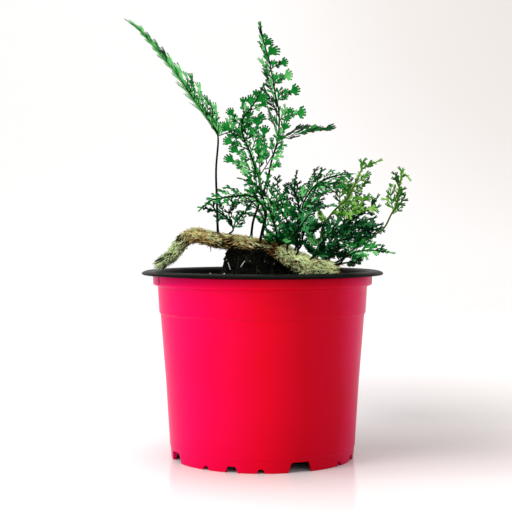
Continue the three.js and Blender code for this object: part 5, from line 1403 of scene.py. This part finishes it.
def dress_frond(frond):
    draw = make_random(frond.seed * 7 + 5)
    parts = Parts()
    add_stem(parts, frond)
    for rib in frond.ribs:
        add_rib(parts, *rib)
    leanings = {}

    def shade(leaf):
        """A leaflet's own leaning to pale or deep, and each lobe's chance on top of it."""
        if leaf.number not in leanings:
            leanings[leaf.number] = draw(-LEANING, LEANING) + frond.shift
        value = leanings[leaf.number] + draw(-STRAYING, STRAYING)
        return PALE if value > PALE_ABOVE else DEEP if value < DEEP_BELOW else LEAF

    for leaf, x, y, angle, length, half, bend in frond.lobes:
        if leaf.reach == TIP_REACH:
            half *= TIP_SLIM
        is_long = length > SPRIG_LENGTH and length > SPRIG_SHARE * half
        dress = add_sprig if is_long or frond.is_lacy and length > LACY_LENGTH else add_lobe
        tone = shade(leaf)
        lobe = (leaf, x, y, angle, length, half, bend)
        if frond.sleek and leaf.reach < frond.sleek[3] and leaf.along.x < frond.sleek[4]:
            dress, lobe = add_lobe, sleeker(*lobe)
        elif leaf.reach > frond.strap:
            dress = add_lobe
            lobe = (leaf, x, y, angle * STRAP_ANGLE, length * STRAP_LENGTH, half * STRAP_HALF, bend)
        elif frond.fuller:
            lobe = (leaf, x, y, angle, length, half * frond.fuller, bend)
            tone = LEAF if frond.is_bright and tone == DEEP and length > BRIGHT_LENGTH else tone
        dress(parts, *lobe, draw, tone)
    for lobe in frond.extras:
        add_lobe(parts, *lobe, draw, shade(lobe[0]))
    add_streaks(parts, frond, draw)
    if frond.sprays:
        add_sprays(parts, frond, draw)
    obj = parts.build(frond.name + "_leafy", FROND_LOOKS[frond.tone], 38)
    settle(obj, "leaf_" + frond.tone, frond.name)


grow_all()
for frond in FRONDS:
    dress_frond(frond)


# Floor, light and background

# Painted shadow: the pot's soft shadow on the floor right of and behind it, near and far, then painted
# shade on the wall at the right. The centre and the size of each in metres, and its colours from its
# edge to its middle
PAINTED_FLOOR_SHADOWS = [
    ((0.075, 0.02, 0.0), (0.13, 0.085, 0.3), [
        (0.0, (255, 255, 255)), (0.31, (244, 240, 241)), (0.68, (226, 222, 223)), (1.0, (212, 208, 209))]),
    ((0.1, 0.14, 0.0), (0.2, 0.32, 0.3), [
        (0.0, (255, 255, 255)), (0.42, (231, 227, 228)), (0.74, (209, 205, 206)), (1.0, (189, 185, 186))]),
    ((0.7, 2.0, 0.75), (0.7, 1.2, 0.85), [
        (0.0, (250, 249, 249)), (0.4, (240, 236, 233)), (1.0, (232, 228, 226))]),
]
# The floor goes back to this curve, which turns it up into the wall; all in metres
FLOOR_HALF_WIDTH, FLOOR_FRONT, WALL_TOP = 3.5, -3.0, 3.5
CURVE_START, CURVE_RADIUS, CURVE_STEPS = 1.1, 0.9, 23
# Each lamp's place, target, size in metres, power in watts and colour
LAMPS = {
    "key": ((-1.15, -0.95, 1.25), (0, 0, 0.12), 0.9, 17, (1.0, 0.985, 0.965)),
    "front": ((0.5, -1.6, 0.7), (0, 0, 0.1), 1.2, 4, (1.0, 1.0, 1.0)),
    "top": ((0.1, 0.2, 1.6), (0, 0, 0.1), 1.2, 8, (1.0, 1.0, 1.0)),
}


def floor_look():
    """White, with the painted shadows and shade multiplied one after another."""
    look = Look("floor", 0.16, 0.12)
    place = look.place()
    shades = []
    for centre, size, stops in PAINTED_FLOOR_SHADOWS:
        patch = look.add("ShaderNodeMapping", {"Location": centre, "Scale": size}, {"Vector": place})
        patch.vector_type = "TEXTURE"
        shade = look.add("ShaderNodeTexGradient", {}, {"Vector": patch.outputs["Vector"]})
        shade.gradient_type = "SPHERICAL"
        shades.append(look.ramp(shade.outputs["Fac"], stops))
    while len(shades) > 1:
        both = look.add("ShaderNodeVectorMath", {}, {0: shades.pop(), 1: shades.pop()})
        both.operation = "MULTIPLY"
        shades.append(both.outputs["Vector"])
    look.join(shades[0], "Base Color")
    return look.material


def make_floor():
    line = [(FLOOR_FRONT, 0.0)]
    for k in range(CURVE_STEPS + 1):
        turn = math.pi / 2 * k / CURVE_STEPS
        line.append((
            CURVE_START + CURVE_RADIUS * math.sin(turn), CURVE_RADIUS - CURVE_RADIUS * math.cos(turn)))
    line.append((CURVE_START + CURVE_RADIUS, WALL_TOP))
    vertices = [Vector((x, y, z)) / MM for y, z in line for x in (-FLOOR_HALF_WIDTH, FLOOR_HALF_WIDTH)]
    faces = [(2 * k, 2 * k + 1, 2 * k + 3, 2 * k + 2) for k in range(len(line) - 1)]
    floor = make_object("studio_floor", vertices, faces, [floor_look()], None, 60)


make_floor()
for name, (place, target, size, power, colour) in LAMPS.items():
    lamp = bpy.data.lights.new(name, "AREA")
    lamp.shape, lamp.size, lamp.energy, lamp.color = "DISK", size, power, colour
    stand(bpy.data.objects.new(name, lamp), place, target)
world = bpy.data.worlds.new("studio")
world.use_nodes = True
world.node_tree.nodes["Background"].inputs["Color"].default_value = (1.0, 0.985, 0.98, 1)
world.node_tree.nodes["Background"].inputs["Strength"].default_value = 0.82
bpy.context.scene.world = world
bpy.context.scene.view_settings.view_transform = "Standard"
